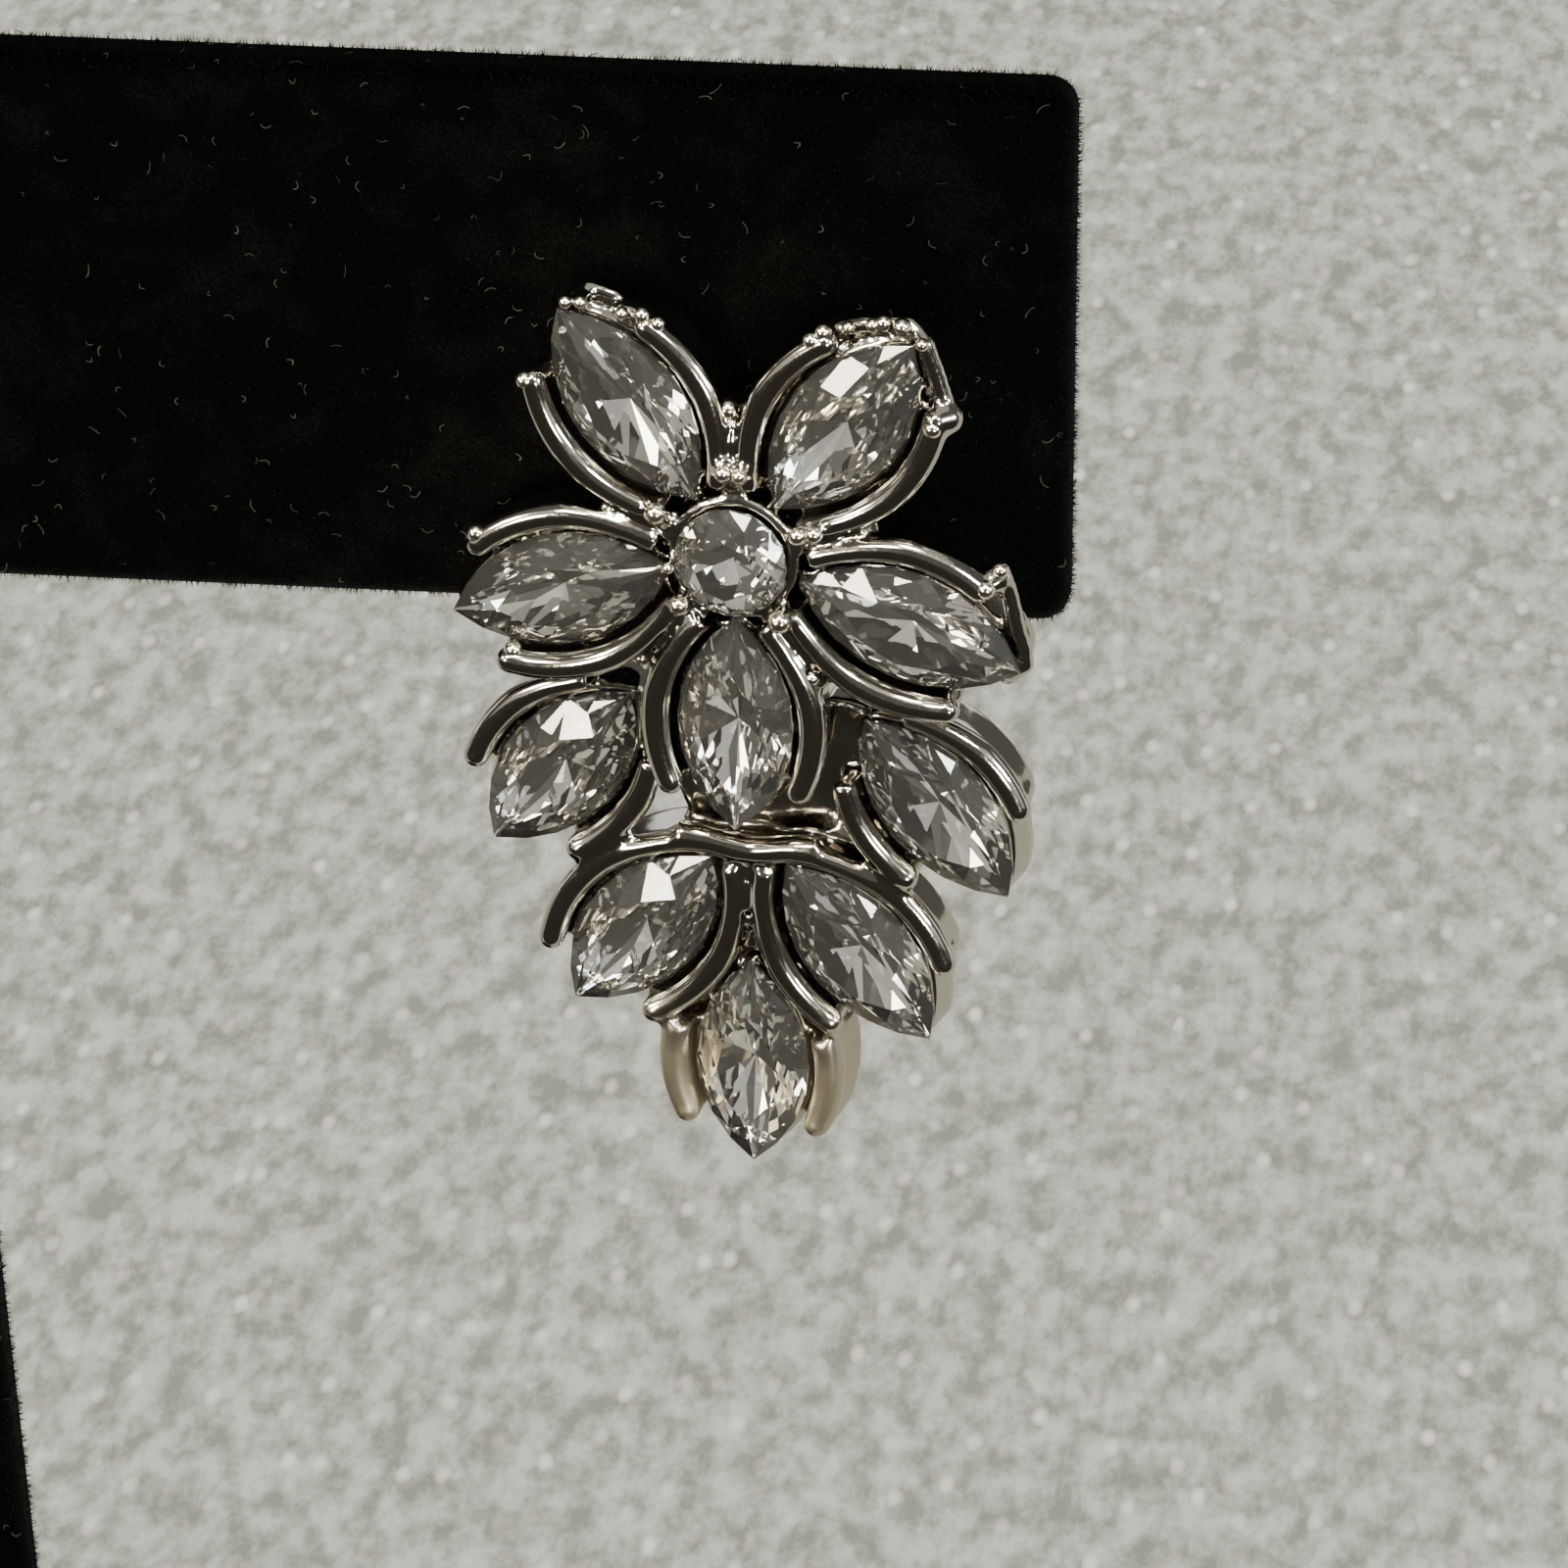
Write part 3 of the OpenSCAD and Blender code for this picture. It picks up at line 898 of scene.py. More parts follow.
@dataclass
class FlowerCasting(Casting):
    """The flower's casting: five seats, the centre cup with its prongs, webs and hinge ears.

    A petal is its direction and where its left and right rails end. A claw or paddle is the
    middle and radius of its ball, a strip its radius and path, a prong its place and radius,
    and a web its direction, its reach and the height of its front.
    """

    petal_r: float = 7.9
    petals: tuple[Point, ...] = (
        (126, 24, 20), (54, 22, 25), (198, 27, 23), (342, 18, 22), (270, 22, 24))
    rail_start: float = -44
    claws: tuple[Ball, ...] = (
        (-7.15, 10.9, 0.35, 0.3), (-6.5, 10.95, 0.35, 0.3), (-4.75, 10.6, 0.25, 0.3),
        (-3.85, 10.7, 0.4, 0.36), (-3.15, 10.4, 0.45, 0.33), (-8.9, 7.2, 0.45, 0.42),
        (3.35, 10.4, 0.5, 0.36), (3.85, 10.75, 0.35, 0.38), (4.75, 10.75, -0.35, 0.28),
        (5.75, 10.95, -0.4, 0.3), (6.2, 11.05, -0.5, 0.36), (7.0, 11.0, -0.4, 0.4),
        (7.95, 10.5, 0.05, 0.3), (-0.3, 6.6, -0.05, 0.48), (8.55, 7.0, 0.55, 0.42),
        (-11.1, -0.1, 0.45, 0.42), (10.85, -0.1, 0.5, 0.42), (11.35, 0.6, 0.0, 0.36),
        (-4.1, -5.3, 0.0, 0.34), (3.4, -5.2, 0.3, 0.34), (-9.6, -5.45, 0.3, 0.4))
    paddles: tuple[Ball, ...] = (
        (9.0, 7.2, -0.2, 0.72), (11.15, 0.1, -0.2, 0.6))
    strips: tuple[tuple[float, tuple[Point, ...]], ...] = (
        (0.3, ((-6.5, 11.15, -0.9), (-5.2, 10.8, -0.9))),
        (0.3, ((-0.3, 6.6, -1.5), (-0.3, 6.6, -0.05))),
        (0.26, ((-7.15, 10.9, -1.5), (-7.15, 10.9, 0.3))),
        (0.26, ((-6.5, 10.95, -1.5), (-6.5, 10.95, 0.3))),
        (0.32, ((-3.2, 10.0, 0.1), (-3.9, 10.45, 0.0), (-4.8, 10.6, -0.15))),
        (0.42, ((4.2, 10.4, -0.9), (5.2, 10.7, -0.9), (7.2, 10.95, -0.9), (8.0, 10.4, -0.5))),
        (0.42, ((9.0, 7.4, -0.4), (8.75, 8.2, -0.35), (8.4, 9.3, -0.35), (8.0, 10.4, -0.3))),
        (0.4, ((11.3, 0.5, -0.3), (11.6, -0.4, -0.4), (11.8, -1.3, -0.45), (12.0, -2.3, -0.5),
               (12.25, -3.2, -0.6), (12.35, -4.0, -0.75), (11.5, -4.75, -1.0))))
    cup_r: float = 2.8
    cup_in_r: float = 2.22
    cup_top: float = 0.4
    cup_floor: float = -1.3
    cup_back: float = -2.46
    prongs: tuple[Point, ...] = (
        (-0.25, 4.2, 0.38), (0.45, 4.15, 0.34), (-3.14, 2.04, 0.48), (2.95, 1.7, 0.4),
        (3.65, 1.85, 0.4), (-2.15, -2.1, 0.46), (2.2, -2.35, 0.52), (-2.62, -0.42, 0.26))
    prong_root: float = -1.6
    prong_z: float = 1.1
    prong_stem: float = 0.9
    webs: tuple[Point, ...] = (
        (90, 6.6, -0.6), (162, 6.3, -0.3), (234, 6.8, 0.1), (306, 6.9, 0.1), (18, 6.3, -0.3))
    web_from: float = 2.4
    web_half: float = 0.75
    web_back: float = -2.36
    pin_hole_r: float = 0.425
    ear_r: float = 1.0
    ear_front: float = 1.25
    ear_t: float = 0.8
    ear_from_middle: float = 1.07

    def draw_ears(self, guides: GuideMesh) -> None:
        """Add the two ears that hold the hinge pin, round behind it and square before it.

        Args:
            guides: The casting's guides.
        """
        outer = []
        for k in range(self.eye_points):
            turn = tau * k / self.eye_points
            up, front = abs(cos(turn)), sin(turn)
            outer.append(self.ear_r if front <= 0
                         else min(self.ear_r / max(up, 1e-6), self.ear_front / front))
        near, far = self.ear_from_middle, self.ear_from_middle + self.ear_t
        for ends in ((-far, -near), (near, far)):
            guides.eye(ends, (-PIN_DOWN, -PIN_BACK), outer, self.pin_hole_r)

    def build(self) -> Object:
        """Build the casting.

        Returns:
            The casting, on the root body in place of its solid.
        """
        guides = GuideMesh()
        for turn, left, right in self.petals:
            angle = radians(turn)
            middle = (self.petal_r * cos(angle), self.petal_r * sin(angle))
            MarquiseSeat(middle, turn, (self.rail_start, left),
                         (self.rail_start, right)).draw(guides)
        for x, y, z, radius in self.claws:
            guides.bead((x, y, z), radius, GuideKind.CLAW)
        for x, y, z, radius in self.paddles:
            guides.bead((x, y, z), radius)
        for radius, points in self.strips:
            guides.path(GuideKind.BAR, points, radius)
            for point in (points[0], points[-1]):
                guides.bead(point, radius)
        guides.rings([circle(radius, height) for radius, height in (
            (self.cup_r, self.cup_back), (self.cup_r, self.cup_top),
            (self.cup_in_r, self.cup_top), (self.cup_in_r, self.cup_floor))])
        for x, y, radius in self.prongs:
            top = (x, y, self.prong_z)
            guides.path(GuideKind.BAR, [(x, y, self.prong_root), top], radius * self.prong_stem)
            guides.bead(top, radius, GuideKind.CLAW)
        for turn, far, front in self.webs:
            c, s = cos(radians(turn)), sin(radians(turn))
            near, half = self.web_from, self.web_half
            guides.slab([(x * c + w * s, x * s - w * c)
                         for x, w in ((near, half), (far, half), (far, -half), (near, -half))],
                        self.web_back, front)
        self.draw_ears(guides)
        piece = self.cast(guides, "flower_casting")
        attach(piece, "root")
        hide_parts("flower_setting")
        return piece


# The drop


@dataclass
class DropCasting(Casting):
    """The drop's casting: five seats, the flat bars behind them, the arch and the knuckle.

    A seat is its side (left -1, right 1), its place across and down, its left and right
    rails' ends and how far their flanks spread. A bar is its outline, back and front.
    """

    place: JewelPlace = DropPlace()
    voxel: float = 0.13
    soften_steps: int = 5
    spray_angle: float = 38.6
    seats: tuple[tuple[int, float, float, Flat, Flat, Flat], ...] = (
        (-1, 8.2, 11.9, (-27, 21), (-38, 18), (0, 0)),
        (1, 8.2, 11.9, (-38, 15), (-27, 15), (0, 0)),
        (-1, 4.75, 19.4, (-50, 23), (-50, 27), (0.05, 0)),
        (1, 4.75, 19.4, (-50, 19), (-50, 16), (0, 0)),
        (0, 0.0, 25.5, (-14, 22), (-14, 22), (0.3, 0.3)))
    neck_half: float = 0.95
    neck: Bar = (
        ((-0.95, -15.0), (0.95, -15.0), (0.95, -7.25), (-0.95, -7.25)), -2.5, -1.2)
    yoke: Bar = (
        ((-5.6, -8.9), (-4.9, -11.6), (-3.6, -12.6), (-2.5, -15.3), (2.5, -15.3),
         (5.2, -14.9), (5.4, -11.6), (5.6, -8.9)), -2.46, -1.0)
    shoulder: Bar = (
        ((2.9, -10.2), (3.3, -11.7), (5.0, -10.6), (5.5, -8.9), (4.5, -7.9), (3.1, -7.8)),
        -2.46, -1.0)
    saddle: Bar = (
        ((-2.4, -14.6), (-2.2, -15.2), (2.2, -15.2), (2.6, -14.6), (0.1, -14.45)), -2.46, -0.6)
    keel: Bar = (
        ((-0.6, -20.2), (0.6, -20.2), (0.6, -15.0), (-0.6, -15.0)), -2.4, -0.2)
    arch: tuple[Point, ...] = (
        (-3.2, -14.45, 0.25), (-1.9, -14.6, 0.2), (-0.9, -14.82, 0.15), (0.1, -14.95, 0.1),
        (1.0, -14.82, 0.15), (2.0, -14.6, 0.2), (3.2, -14.5, 0.25))
    arch_r: float = 0.66
    knuckle_r: float = 0.85
    knuckle_hole_r: float = 0.46

    def build(self) -> Object:
        """Build the casting.

        Returns:
            The casting, on the drop body in place of its solid.
        """
        guides = GuideMesh()
        for side, across, down, left, right, flank in self.seats:
            MarquiseSeat((side * across, -down), -90 + side * self.spray_angle, left, right,
                         flank).draw(guides)
        for bar in (self.neck, self.yoke, self.shoulder, self.saddle, self.keel):
            guides.slab(*bar)
        guides.path(GuideKind.BAR, self.arch, self.arch_r)
        guides.eye((-self.neck_half, self.neck_half), (-PIN_DOWN, DROP_BACK - PIN_BACK),
                   [self.knuckle_r] * self.eye_points, self.knuckle_hole_r)
        piece = self.cast(guides, "drop_casting")
        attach(piece, "drop")
        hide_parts("drop_setting")
        return piece


# Stones, post and pin


def dress_node(node: Object, material: Material) -> None:
    """Put a material in every slot of a carried-over solid.

    Args:
        node: The solid's object.
        material: Its new material.
    """
    for slot in node.material_slots:
        slot.material = material
    LOG.info("dressed %s in %s", node.name, material.name)


@dataclass
class Stones:
    """The cut stones, which keep their solids and get the foiled crystal here."""

    nodes: dict[str, Object]
    half_girdle: float = 0.1
    bare_rim: float = 0.01
    centre_rise: float = 0.85

    def dress(self) -> None:
        """Give each stone the crystal of its own plane."""
        for start, where, rise in (("petal_stone", JewelPlace(), 0.0),
                                   ("center_stone", JewelPlace(), self.centre_rise),
                                   ("drop_stone", DropPlace(), 0.0)):
            place = where.matrix()
            up = (place.to_3x3() @ Vector((0, 0, 1))).normalized()
            level = up.dot(place @ Vector((0, 0, rise - self.half_girdle - self.bare_rim)))
            crystal = FoiledCrystal("foiled_cut_crystal_of_" + start, up, level).material()
            for name, node in self.nodes.items():
                if name.startswith(start):
                    dress_node(node, crystal)


# The velvet stand


@dataclass(frozen=True)
class PileTree:
    """The Geometry Nodes tree that grows short pile on a board and drops lint threads on it."""

    lean: float = 0.55
    blade_sides: int = 3
    thread_parts: int = 5
    lint_seed_step: float = 5.0

    def build(self) -> NodeTree:
        """Build the tree, with its sizes as named inputs and fixed seeds.

        Returns:
            The tree.
        """
        tree, add, given = new_tree("velvet_pile", {
            "Face Axis": (0.0, 1.0, 0.0), "Bare Below": 0.4 * MM, "Face Density": 4e6,
            "Edge Density": 24e6, "Blade Length": 0.29 * MM, "Blade Radius": 0.022 * MM,
            "Lint Density": 0.19e6, "Lint Start": (-0.3 * MM, 0.0, 0.04 * MM),
            "Lint Bend": (0.05 * MM, 0.3 * MM, 0.12 * MM),
            "Lint End": (0.28 * MM, -0.04 * MM, 0.06 * MM), "Lint Radius": 0.026 * MM,
            "Seed": 7, "Cloth": None, "Pile": None, "Lint": None})
        # The pile is denser round the edges, where it shows against the light
        normal = add("GeometryNodeInputNormal")
        along = add("ShaderNodeVectorMath", {0: normal, 1: given["Face Axis"]},
                    operation="DOT_PRODUCT")
        level = add("ShaderNodeMath", {0: along}, operation="ABSOLUTE")
        density = add("ShaderNodeMapRange",
                      {"Value": level, "From Min": 0.9, "From Max": 0.995,
                       "To Min": given["Edge Density"], "To Max": given["Face Density"]},
                      clamp=True)
        place = add("GeometryNodeInputPosition")
        height = add("ShaderNodeSeparateXYZ", {"Vector": place}).outputs["Z"]
        clear = add("FunctionNodeCompare", {"A": height, "B": given["Bare Below"]},
                    data_type="FLOAT", operation="GREATER_THAN")
        other_seed = add("ShaderNodeMath", {0: given["Seed"], 1: self.lint_seed_step})
        tilt = add("FunctionNodeRandomValue",
                   {"Min": (-self.lean, -self.lean, 0.0), "Max": (self.lean, self.lean, tau),
                    "Seed": given["Seed"]}, data_type="FLOAT_VECTOR")
        blade = add("GeometryNodeMeshCone",
                    {"Vertices": self.blade_sides, "Radius Top": 0.0,
                     "Radius Bottom": given["Blade Radius"], "Depth": given["Blade Length"]},
                    fill_type="NGON")
        grow = add("FunctionNodeRandomValue", {"Min": 0.55, "Max": 1.25, "Seed": given["Seed"]},
                   data_type="FLOAT")
        bend = add("GeometryNodeCurveQuadraticBezier",
                   {"Resolution": self.thread_parts, "Start": given["Lint Start"],
                    "Middle": given["Lint Bend"], "End": given["Lint End"]})
        section = add("GeometryNodeCurvePrimitiveCircle",
                      {"Resolution": self.blade_sides, "Radius": given["Lint Radius"]})
        thread = add("GeometryNodeCurveToMesh",
                     {"Curve": bend, "Profile Curve": section, "Fill Caps": True})
        stretch = add("FunctionNodeRandomValue", {"Min": (0.25, 0.3, 0.5), "Max": (1.15, 1.2, 1.3),
                                                  "Seed": given["Seed"]}, data_type="FLOAT_VECTOR")
        parts = []
        for amount, seed, shape, scale, finish in (
                (given["Lint Density"], other_seed, thread, stretch, "Lint"),
                (density, given["Seed"], blade, grow, "Pile")):
            roots = add("GeometryNodeDistributePointsOnFaces",
                        {"Mesh": given["Geometry"], "Density": amount, "Seed": seed,
                         "Selection": clear})
            turn = add("FunctionNodeRotateRotation", {"Rotation": roots.outputs["Rotation"],
                                                      "Rotate By": tilt}, rotation_space="LOCAL")
            grown = add("GeometryNodeInstanceOnPoints",
                        {"Points": roots, "Instance": shape, "Rotation": turn, "Scale": scale})
            parts.append(add("GeometryNodeSetMaterial",
                             {"Geometry": grown, "Material": given[finish]}))
        parts.append(add("GeometryNodeSetMaterial",
                         {"Geometry": given["Geometry"], "Material": given["Cloth"]}))
        whole = add("GeometryNodeJoinGeometry", {"Geometry": parts})
        real = add("GeometryNodeRealizeInstances", {"Geometry": whole})
        add("NodeGroupOutput", {"Geometry": real})
        return tree


class BoardPlane(Enum):
    """Which way a board's broad faces look, as an axis."""

    UPRIGHT = (0.0, 1.0, 0.0)
    LYING = (0.0, 0.0, 1.0)


@dataclass
class VelvetBoard:
    """One velvet covered board of the stand, with soft edges and a short pile.

    A hole is its two ends and its radius, in metres.
    """

    name: str
    node: str
    outline: list[Flat]
    middle: float
    thickness: float
    plane: BoardPlane
    hole: tuple[Vector, Vector, float] | None = None
    edge_r: float = 0.8
    edge_steps: int = 6
    hole_sides: int = 24

    def ring(self, inset: float, level: float) -> Ring:
        """Draw the outline moved inwards, at a level through the board.

        Args:
            inset: Distance inwards, in millimetres.
            level: Distance from the board's middle plane.

        Returns:
            The ring in world metres.
        """
        flat = np.array(self.outline)
        before, after = flat - np.roll(flat, 1, axis=0), np.roll(flat, -1, axis=0) - flat
        before /= np.linalg.norm(before, axis=1)[:, None]
        after /= np.linalg.norm(after, axis=1)[:, None]
        inwards = np.stack([-(before + after)[:, 1], (before + after)[:, 0]], axis=1)
        inwards /= np.maximum(1.0, 1 + np.sum(before * after, axis=1))[:, None]
        moved = flat + inwards * inset
        if self.plane is BoardPlane.UPRIGHT:
            return [(a * MM, (self.middle - level) * MM, b * MM) for a, b in moved]
        return [(a * MM, b * MM, (self.middle + level) * MM) for a, b in moved]

    def build(self, tree: NodeTree, finishes: dict[str, Material]) -> Object:
        """Build the board.

        Args:
            tree: The tree that grows the pile.
            finishes: The materials for the tree's cloth, pile and lint.

        Returns:
            The finished board, on the root body in place of its solid.
        """
        half, r = self.thickness / 2, min(self.edge_r, self.thickness / 2)
        turns = [pi / 2 * k / self.edge_steps for k in range(self.edge_steps + 1)]
        rings = [self.ring(r * (1 - sin(t)), -half + r * (1 - cos(t))) for t in turns]
        rings += [self.ring(r * (1 - sin(t)), half - r * (1 - cos(t))) for t in reversed(turns)]
        guides = GuideMesh()
        guides.rings(rings)
        piece = mesh_object(self.name, guides.points, [], guides.faces)
        piece.data.validate()
        if self.hole:
            self.pierce(piece)
        run_tree(piece, tree, {"Face Axis": self.plane.value, "Seed": len(self.name), **finishes})
        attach(piece, "root")
        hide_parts(self.node)
        return piece

    def pierce(self, piece: Object) -> None:
        """Cut the hole for the ear post.

        Args:
            piece: The board's object, before its pile.
        """
        start, end, radius = self.hole
        along = (end - start).normalized()
        side = along.cross(Vector((0, 0, 1))).normalized()
        up = side.cross(along)
        turns = [tau * k / self.hole_sides for k in range(self.hole_sides)]
        guides = GuideMesh()
        guides.rings([[p + (side * cos(t) + up * sin(t)) * radius for t in turns]
                      for p in (start, end)])
        cutter = mesh_object("post_hole", guides.points, [], guides.faces)
        cut = piece.modifiers.new("hole", "BOOLEAN")
        cut.object, cut.operation, cut.solver = cutter, "DIFFERENCE", "EXACT"
        keep_result(piece, cut)
        bpy.data.meshes.remove(cutter.data)


def rounded(width: float, height: float, middle: float, radius: float,
            steps: int = 8) -> list[Flat]:
    """Draw the outline of a board with round corners.

    Args:
        width: Its width.
        height: Its height.
        middle: The height of its middle.
        radius: Its corners' radius.
        steps: How many parts each corner has.

    Returns:
        The outline, counter-clockwise.
    """
    outline = []
    for corner in range(4):
        x = (width / 2 - radius) * (1 if corner in (0, 3) else -1)
        y = middle + (height / 2 - radius) * (1 if corner in (0, 1) else -1)
        for k in range(steps + 1):
            turn = pi / 2 * (corner + k / steps)
            outline.append((x + radius * cos(turn), y + radius * sin(turn)))
    return outline


@dataclass
class VelvetStand:
    """The plain display stand: an arm, an upright and a foot, all covered in black velvet."""

    arm_len: float = 110.0
    arm_h: float = 24.4
    board_t: float = 2.5
    stand_h: float = 98.0
    corner_r: float = 1.3
    upright_top: float = 11.0
    upright_foot: float = 20.0
    foot: Point = (62.0, 46.0, 4.0)
    foot_corner_r: float = 4.0
    slot_depth: float = 2.5
    board_gap: float = 0.05
    hole_r: float = 0.86
    hole_ends: Flat = (-3.0, -9.0)

    def boards(self) -> list[VelvetBoard]:
        """Lay out the three boards.

        Returns:
            The arm with the post's hole, the upright and the foot.
        """
        arm_low = self.stand_h - self.arm_h
        width, depth, height = self.foot
        place = JewelPlace().matrix()
        start, end = (place @ Vector((0, 0, z)) for z in self.hole_ends)
        top, low = arm_low - self.board_gap, height - self.slot_depth
        slim, wide = self.upright_top / 2, self.upright_foot / 2
        upright = [(slim, top), (-slim, top), (-wide, height), (-wide, low), (wide, low),
                   (wide, height)]
        arm = rounded(self.arm_len, self.arm_h, arm_low + self.arm_h / 2, self.corner_r)
        foot = rounded(width, depth, 0.0, self.foot_corner_r)
        return [
            VelvetBoard("velvet_arm", "stand_arm", arm, 0.0, self.board_t, BoardPlane.UPRIGHT,
                        (start, end, self.hole_r * MM)),
            VelvetBoard("velvet_upright", "stand_upright", upright, 0.0, self.board_t,
                        BoardPlane.UPRIGHT),
            VelvetBoard("velvet_foot", "stand_foot", foot, height / 2, height, BoardPlane.LYING)]

    def build(self) -> list[Object]:
        """Build the stand.

        Returns:
            The three finished boards.
        """
        finishes = {"Cloth": VelvetCloth().material(),
                    "Pile": Fibre("black_cotton_pile", "#161817", "#303332", 0.2).material(),
                    "Lint": Fibre("pale_lint_fibre", "#3E4440", "#D6DAD4").material()}
        tree = PileTree().build()
        return [board.build(tree, finishes) for board in self.boards()]


# The studio


def aim_at_jewel(thing: Object, azimuth: float, elevation: float, distance: float) -> None:
    """Place a lamp or the camera and turn it towards the jewel.

    Args:
        thing: The lamp or camera.
        azimuth: Its direction from the jewel, in degrees from the front to the right.
        elevation: Its height above the jewel, in degrees.
        distance: Its distance from the jewel, in metres.
    """
    turn, rise = radians(azimuth), radians(elevation)
    away = Vector((sin(turn) * cos(rise), -cos(turn) * cos(rise), sin(rise)))
    thing.location = Vector(AIM) + away * distance
    thing.rotation_euler = (-away).to_track_quat("-Z", "Y").to_euler()


def new_lamp(name: str, kind: str, strength: float, colour: str, lit: Collection) -> Object:
    """Add a lamp to the scene.

    Args:
        name: The lamp's name.
        kind: AREA or SUN.
        strength: Its energy.
        colour: Its colour, in hex.
        lit: The collection that says which pieces it lights.

    Returns:
        The lamp's object.
    """
    data = bpy.data.lights.new(name, kind)
    data.energy, data.color = strength, linear(colour)[:3]
    lamp = bpy.data.objects.new(name, data)
    lamp.light_linking.receiver_collection = lit
    bpy.context.scene.collection.objects.link(lamp)
    return lamp


@dataclass(frozen=True)
class SoftPanel:
    """One soft studio light, placed by its direction and distance from the jewel."""

    name: str
    azimuth: float
    elevation: float
    distance: float
    size: Flat
    glow: float
    colour: str = "#FFFFFF"

    def build(self, lit: Collection) -> None:
        """Add the light, turned towards the jewel.

        Args:
            lit: The collection that says which pieces it lights.
        """
        width, height = self.size
        lamp = new_lamp(self.name, "AREA", self.glow * pi * width * height, self.colour, lit)
        lamp.data.shape, lamp.data.size, lamp.data.size_y = "RECTANGLE", width, height
        lamp.visible_camera = False
        aim_at_jewel(lamp, self.azimuth, self.elevation, self.distance)


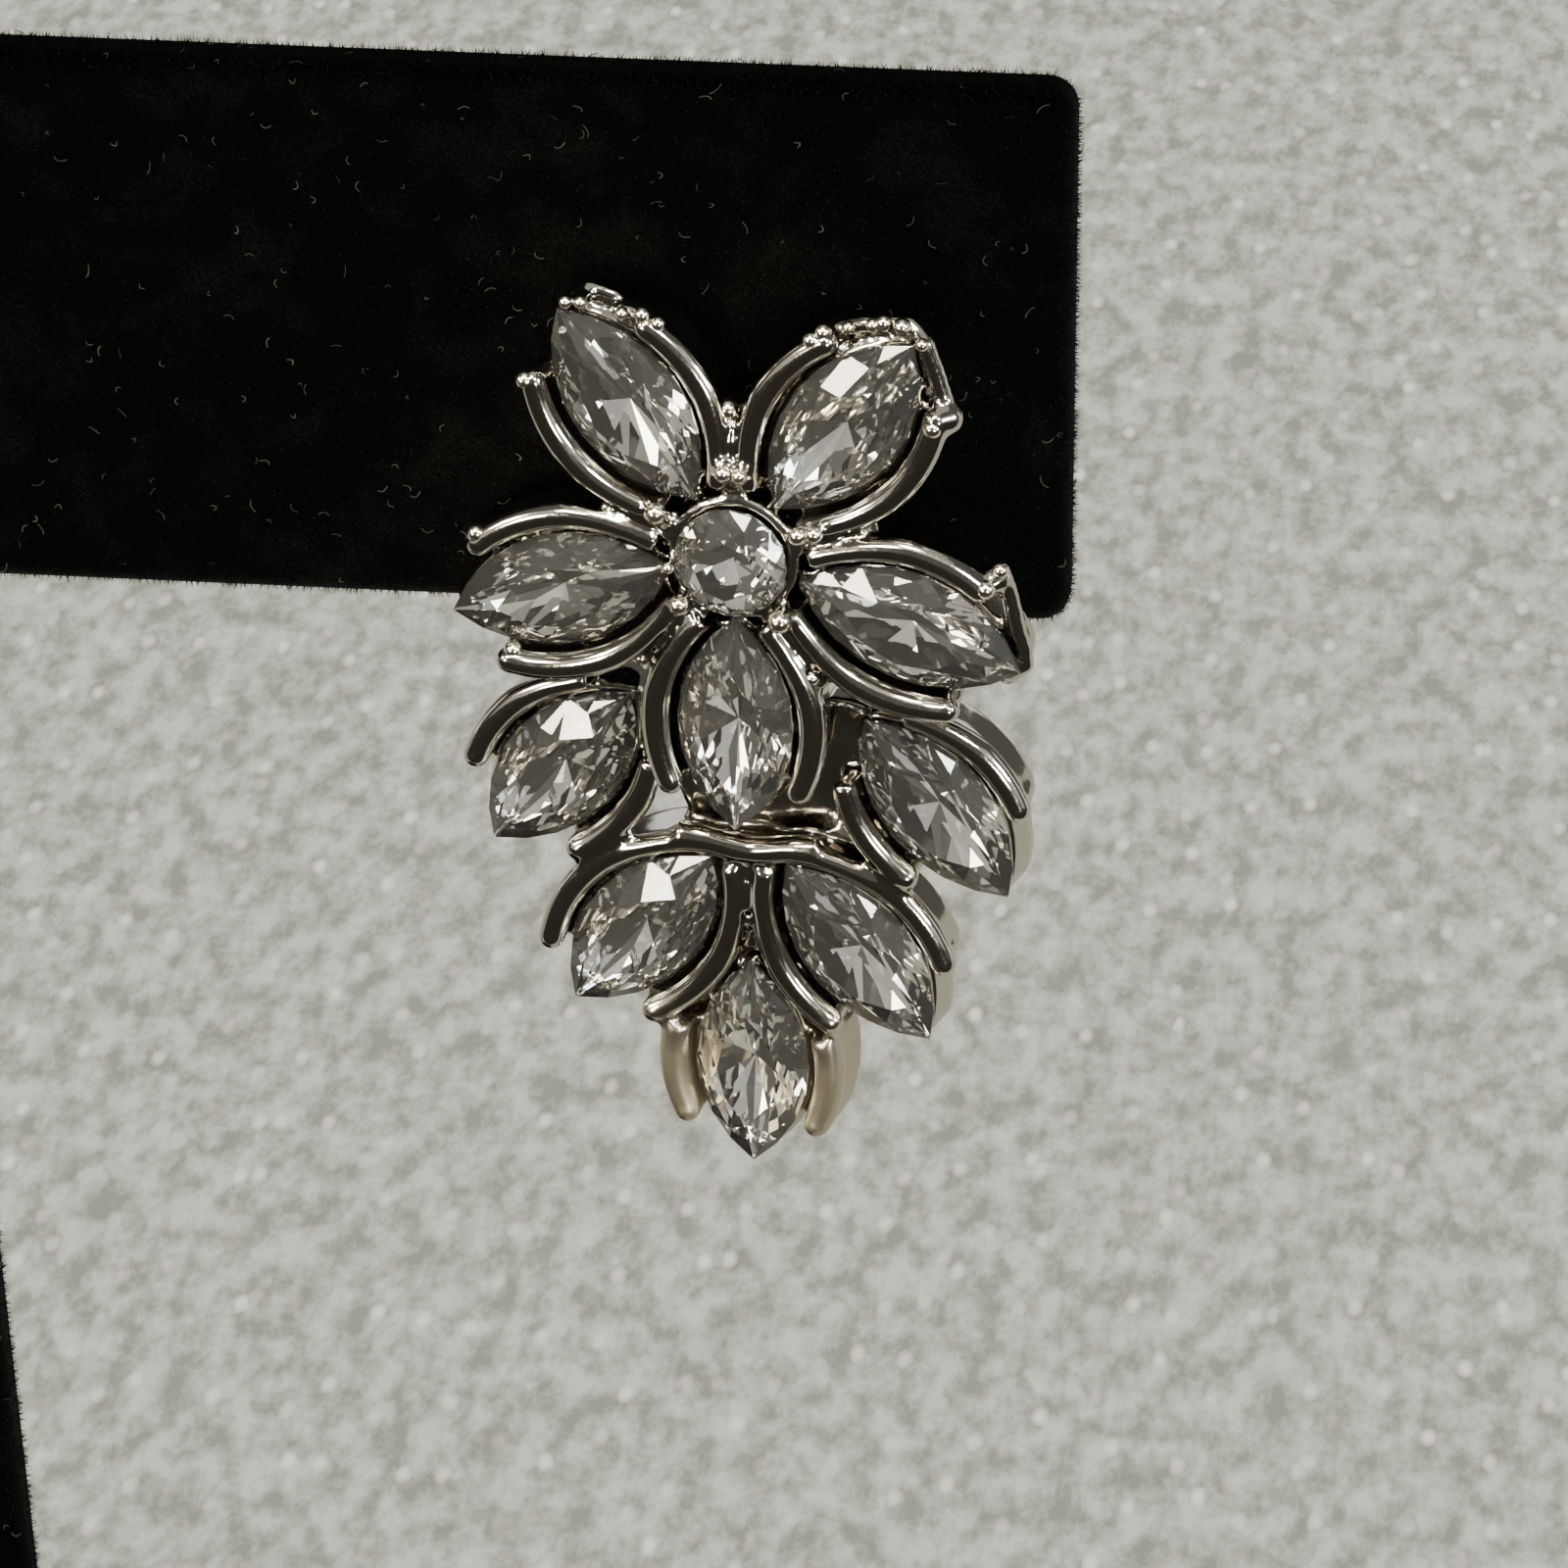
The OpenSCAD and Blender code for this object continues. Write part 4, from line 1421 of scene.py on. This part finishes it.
@dataclass
class Studio:
    """The camera, the table top and the soft lights.

    A soft panel is its name, azimuth, elevation, distance, size, glow and colour.
    """

    azimuth: float = 5.7
    elevation: float = 27.1
    distance: float = 0.4
    lens: float = 217.8
    sensor: float = 36.0
    panels: tuple[SoftPanel, ...] = (
        SoftPanel("ceiling_softbox", 0, 86, 0.93, (0.8, 0.8), 0.4, "#FFFCEE"),
        SoftPanel("front_softbox", 0, 50, 0.8, (0.9, 0.3), 0.6, "#FFFCEE"),
        SoftPanel("left_fill", -52, 20, 0.8, (0.6, 0.6), 0.45, "#FFFAEA"),
        SoftPanel("right_fill", 54, 20, 0.8, (0.6, 0.6), 0.45, "#FBFCF6"),
        SoftPanel("back_rim_light", 180, 20, 0.45, (0.5, 0.12), 1.2),
        SoftPanel("left_strip_light", -106, 12, 0.5, (0.12, 0.3), 1.2, "#FFF6EA"),
        SoftPanel("right_strip_light", 106, 12, 0.5, (0.12, 0.3), 1.2, "#FFF8F0"),
        SoftPanel("lamp_over_front", -8, 62, 0.75, (0.16, 0.16), 84, "#FFFCEA"),
        SoftPanel("lamp_upper_left", -30, 42, 0.75, (0.15, 0.15), 84, "#FFF2DA"),
        SoftPanel("lamp_upper_right", 32, 40, 0.75, (0.15, 0.15), 84, "#F6FAF6"),
        SoftPanel("lamp_left", -60, 26, 0.75, (0.15, 0.15), 84, "#FFEED6"),
        SoftPanel("lamp_right", 62, 20, 0.75, (0.15, 0.15), 84, "#EEF6FA"),
        SoftPanel("lamp_low_left", -36, 8, 0.75, (0.12, 0.12), 90, "#FFFBE6"),
        SoftPanel("lamp_low_right", 26, 2, 0.75, (0.12, 0.12), 90, "#FFF6E4"))
    table_light: float = 3.7
    table_light_angle: float = 50.0
    table_light_colour: str = "#FFFDF5"
    table_half: float = 1.5
    card_back: float = -0.03
    card_level: float = 0.0008
    room_colour: str = "#87857F"
    room_strength: float = 0.54

    def camera(self) -> None:
        """Set up the camera at the photograph's viewing angle."""
        data = bpy.data.cameras.new("studio_camera")
        data.lens, data.sensor_width, data.sensor_fit = self.lens, self.sensor, "HORIZONTAL"
        data.clip_start, data.clip_end = 0.01, 20.0
        camera = bpy.data.objects.new("studio_camera", data)
        aim_at_jewel(camera, self.azimuth, self.elevation, self.distance)
        bpy.context.scene.collection.objects.link(camera)
        bpy.context.scene.camera = camera

    def level_sheet(self, name: str, far: float, level: float, material: Material) -> Object:
        """Lay a level sheet that is part of the stage.

        Args:
            name: Its name.
            far: Where its back edge lies.
            level: Its height.
            material: Its material.

        Returns:
            The sheet.
        """
        half = self.table_half
        sheet = mesh_object(name, [(-half, -half, level), (half, -half, level), (half, far, level),
                                   (-half, far, level)], [], [(0, 1, 2, 3)])
        sheet.data.materials.append(material)
        return sheet

    def receivers(self, name: str, things: list[Object], state: str) -> Collection:
        """Make the collection that says what a lamp lights.

        Args:
            name: The collection's name.
            things: The objects that it names.
            state: INCLUDE for objects that alone are lit, EXCLUDE for objects left dark.

        Returns:
            The collection, with each object marked.
        """
        group = bpy.data.collections.new(name)
        for thing in things:
            group.objects.link(thing)
            group.collection_objects[-1].light_linking.link_state = state
        return group

    def build(self, boards: list[Object]) -> None:
        """Set up the camera, the table top, the lights and a dim room.

        Args:
            boards: The stand's velvet boards, which the jewel's lamps leave dark.
        """
        self.camera()
        table = self.level_sheet("table_top", self.table_half, 0.0, PaleTable().material())
        # A card before the stand, which only the jewel's metal and stones mirror. Lit by the room
        # alone, it is a painted dark reflection that stands in for shade on the table's front
        shade_card_finish = Fibre("grey_felt_card", "#8E8D84", "#989790").material()
        card = self.level_sheet("dark_card", self.card_back, self.card_level, shade_card_finish)
        card.visible_camera = card.visible_shadow = card.visible_diffuse = False
        # A wide overhead light falls on the table top alone
        above = new_lamp("table_soft_light", "SUN", self.table_light, self.table_light_colour,
                         self.receivers("lit_table", [table], "INCLUDE"))
        above.data.angle = radians(self.table_light_angle)
        left_dark = self.receivers("not_lit_by_jewel_lamps", [table, card, *boards], "EXCLUDE")
        for panel in self.panels:
            panel.build(left_dark)
        world = bpy.data.worlds.new("dim_room")
        world.use_nodes = True
        room = world.node_tree.nodes["Background"].inputs
        room["Color"].default_value = linear(self.room_colour)
        room["Strength"].default_value = self.room_strength
        bpy.context.scene.world = world


def main() -> None:
    """Build and dress the whole display."""
    logging.basicConfig(level=logging.INFO, format="%(message)s")
    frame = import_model()
    plate = PolishedPlate().material()
    # The claw heads get a copy of the plate with lighter colours, a painted highlight, and a
    # little more roughness
    claws = PolishedPlate("silver_tone_plate_on_burred_claws", "#EDE6D6", "#B9B2A4",
                          0.14).material()
    rubbed = PolishedPlate("silver_tone_plate_rubbed_satin_at_the_tip", worn_from=0.0565,
                           worn_to=0.0532).material()
    tree = CastingTree().build()
    FlowerCasting(plate, claws, tree).build()
    DropCasting(rubbed, claws, tree).build()
    Stones(frame["nodes"]).dress()
    steel = DrawnSteel().material()
    for name in ("ear_post", "hinge_pin"):
        dress_node(frame["nodes"][name], steel)
    Studio().build(VelvetStand().build())


if __name__ == "__main__":
    main()
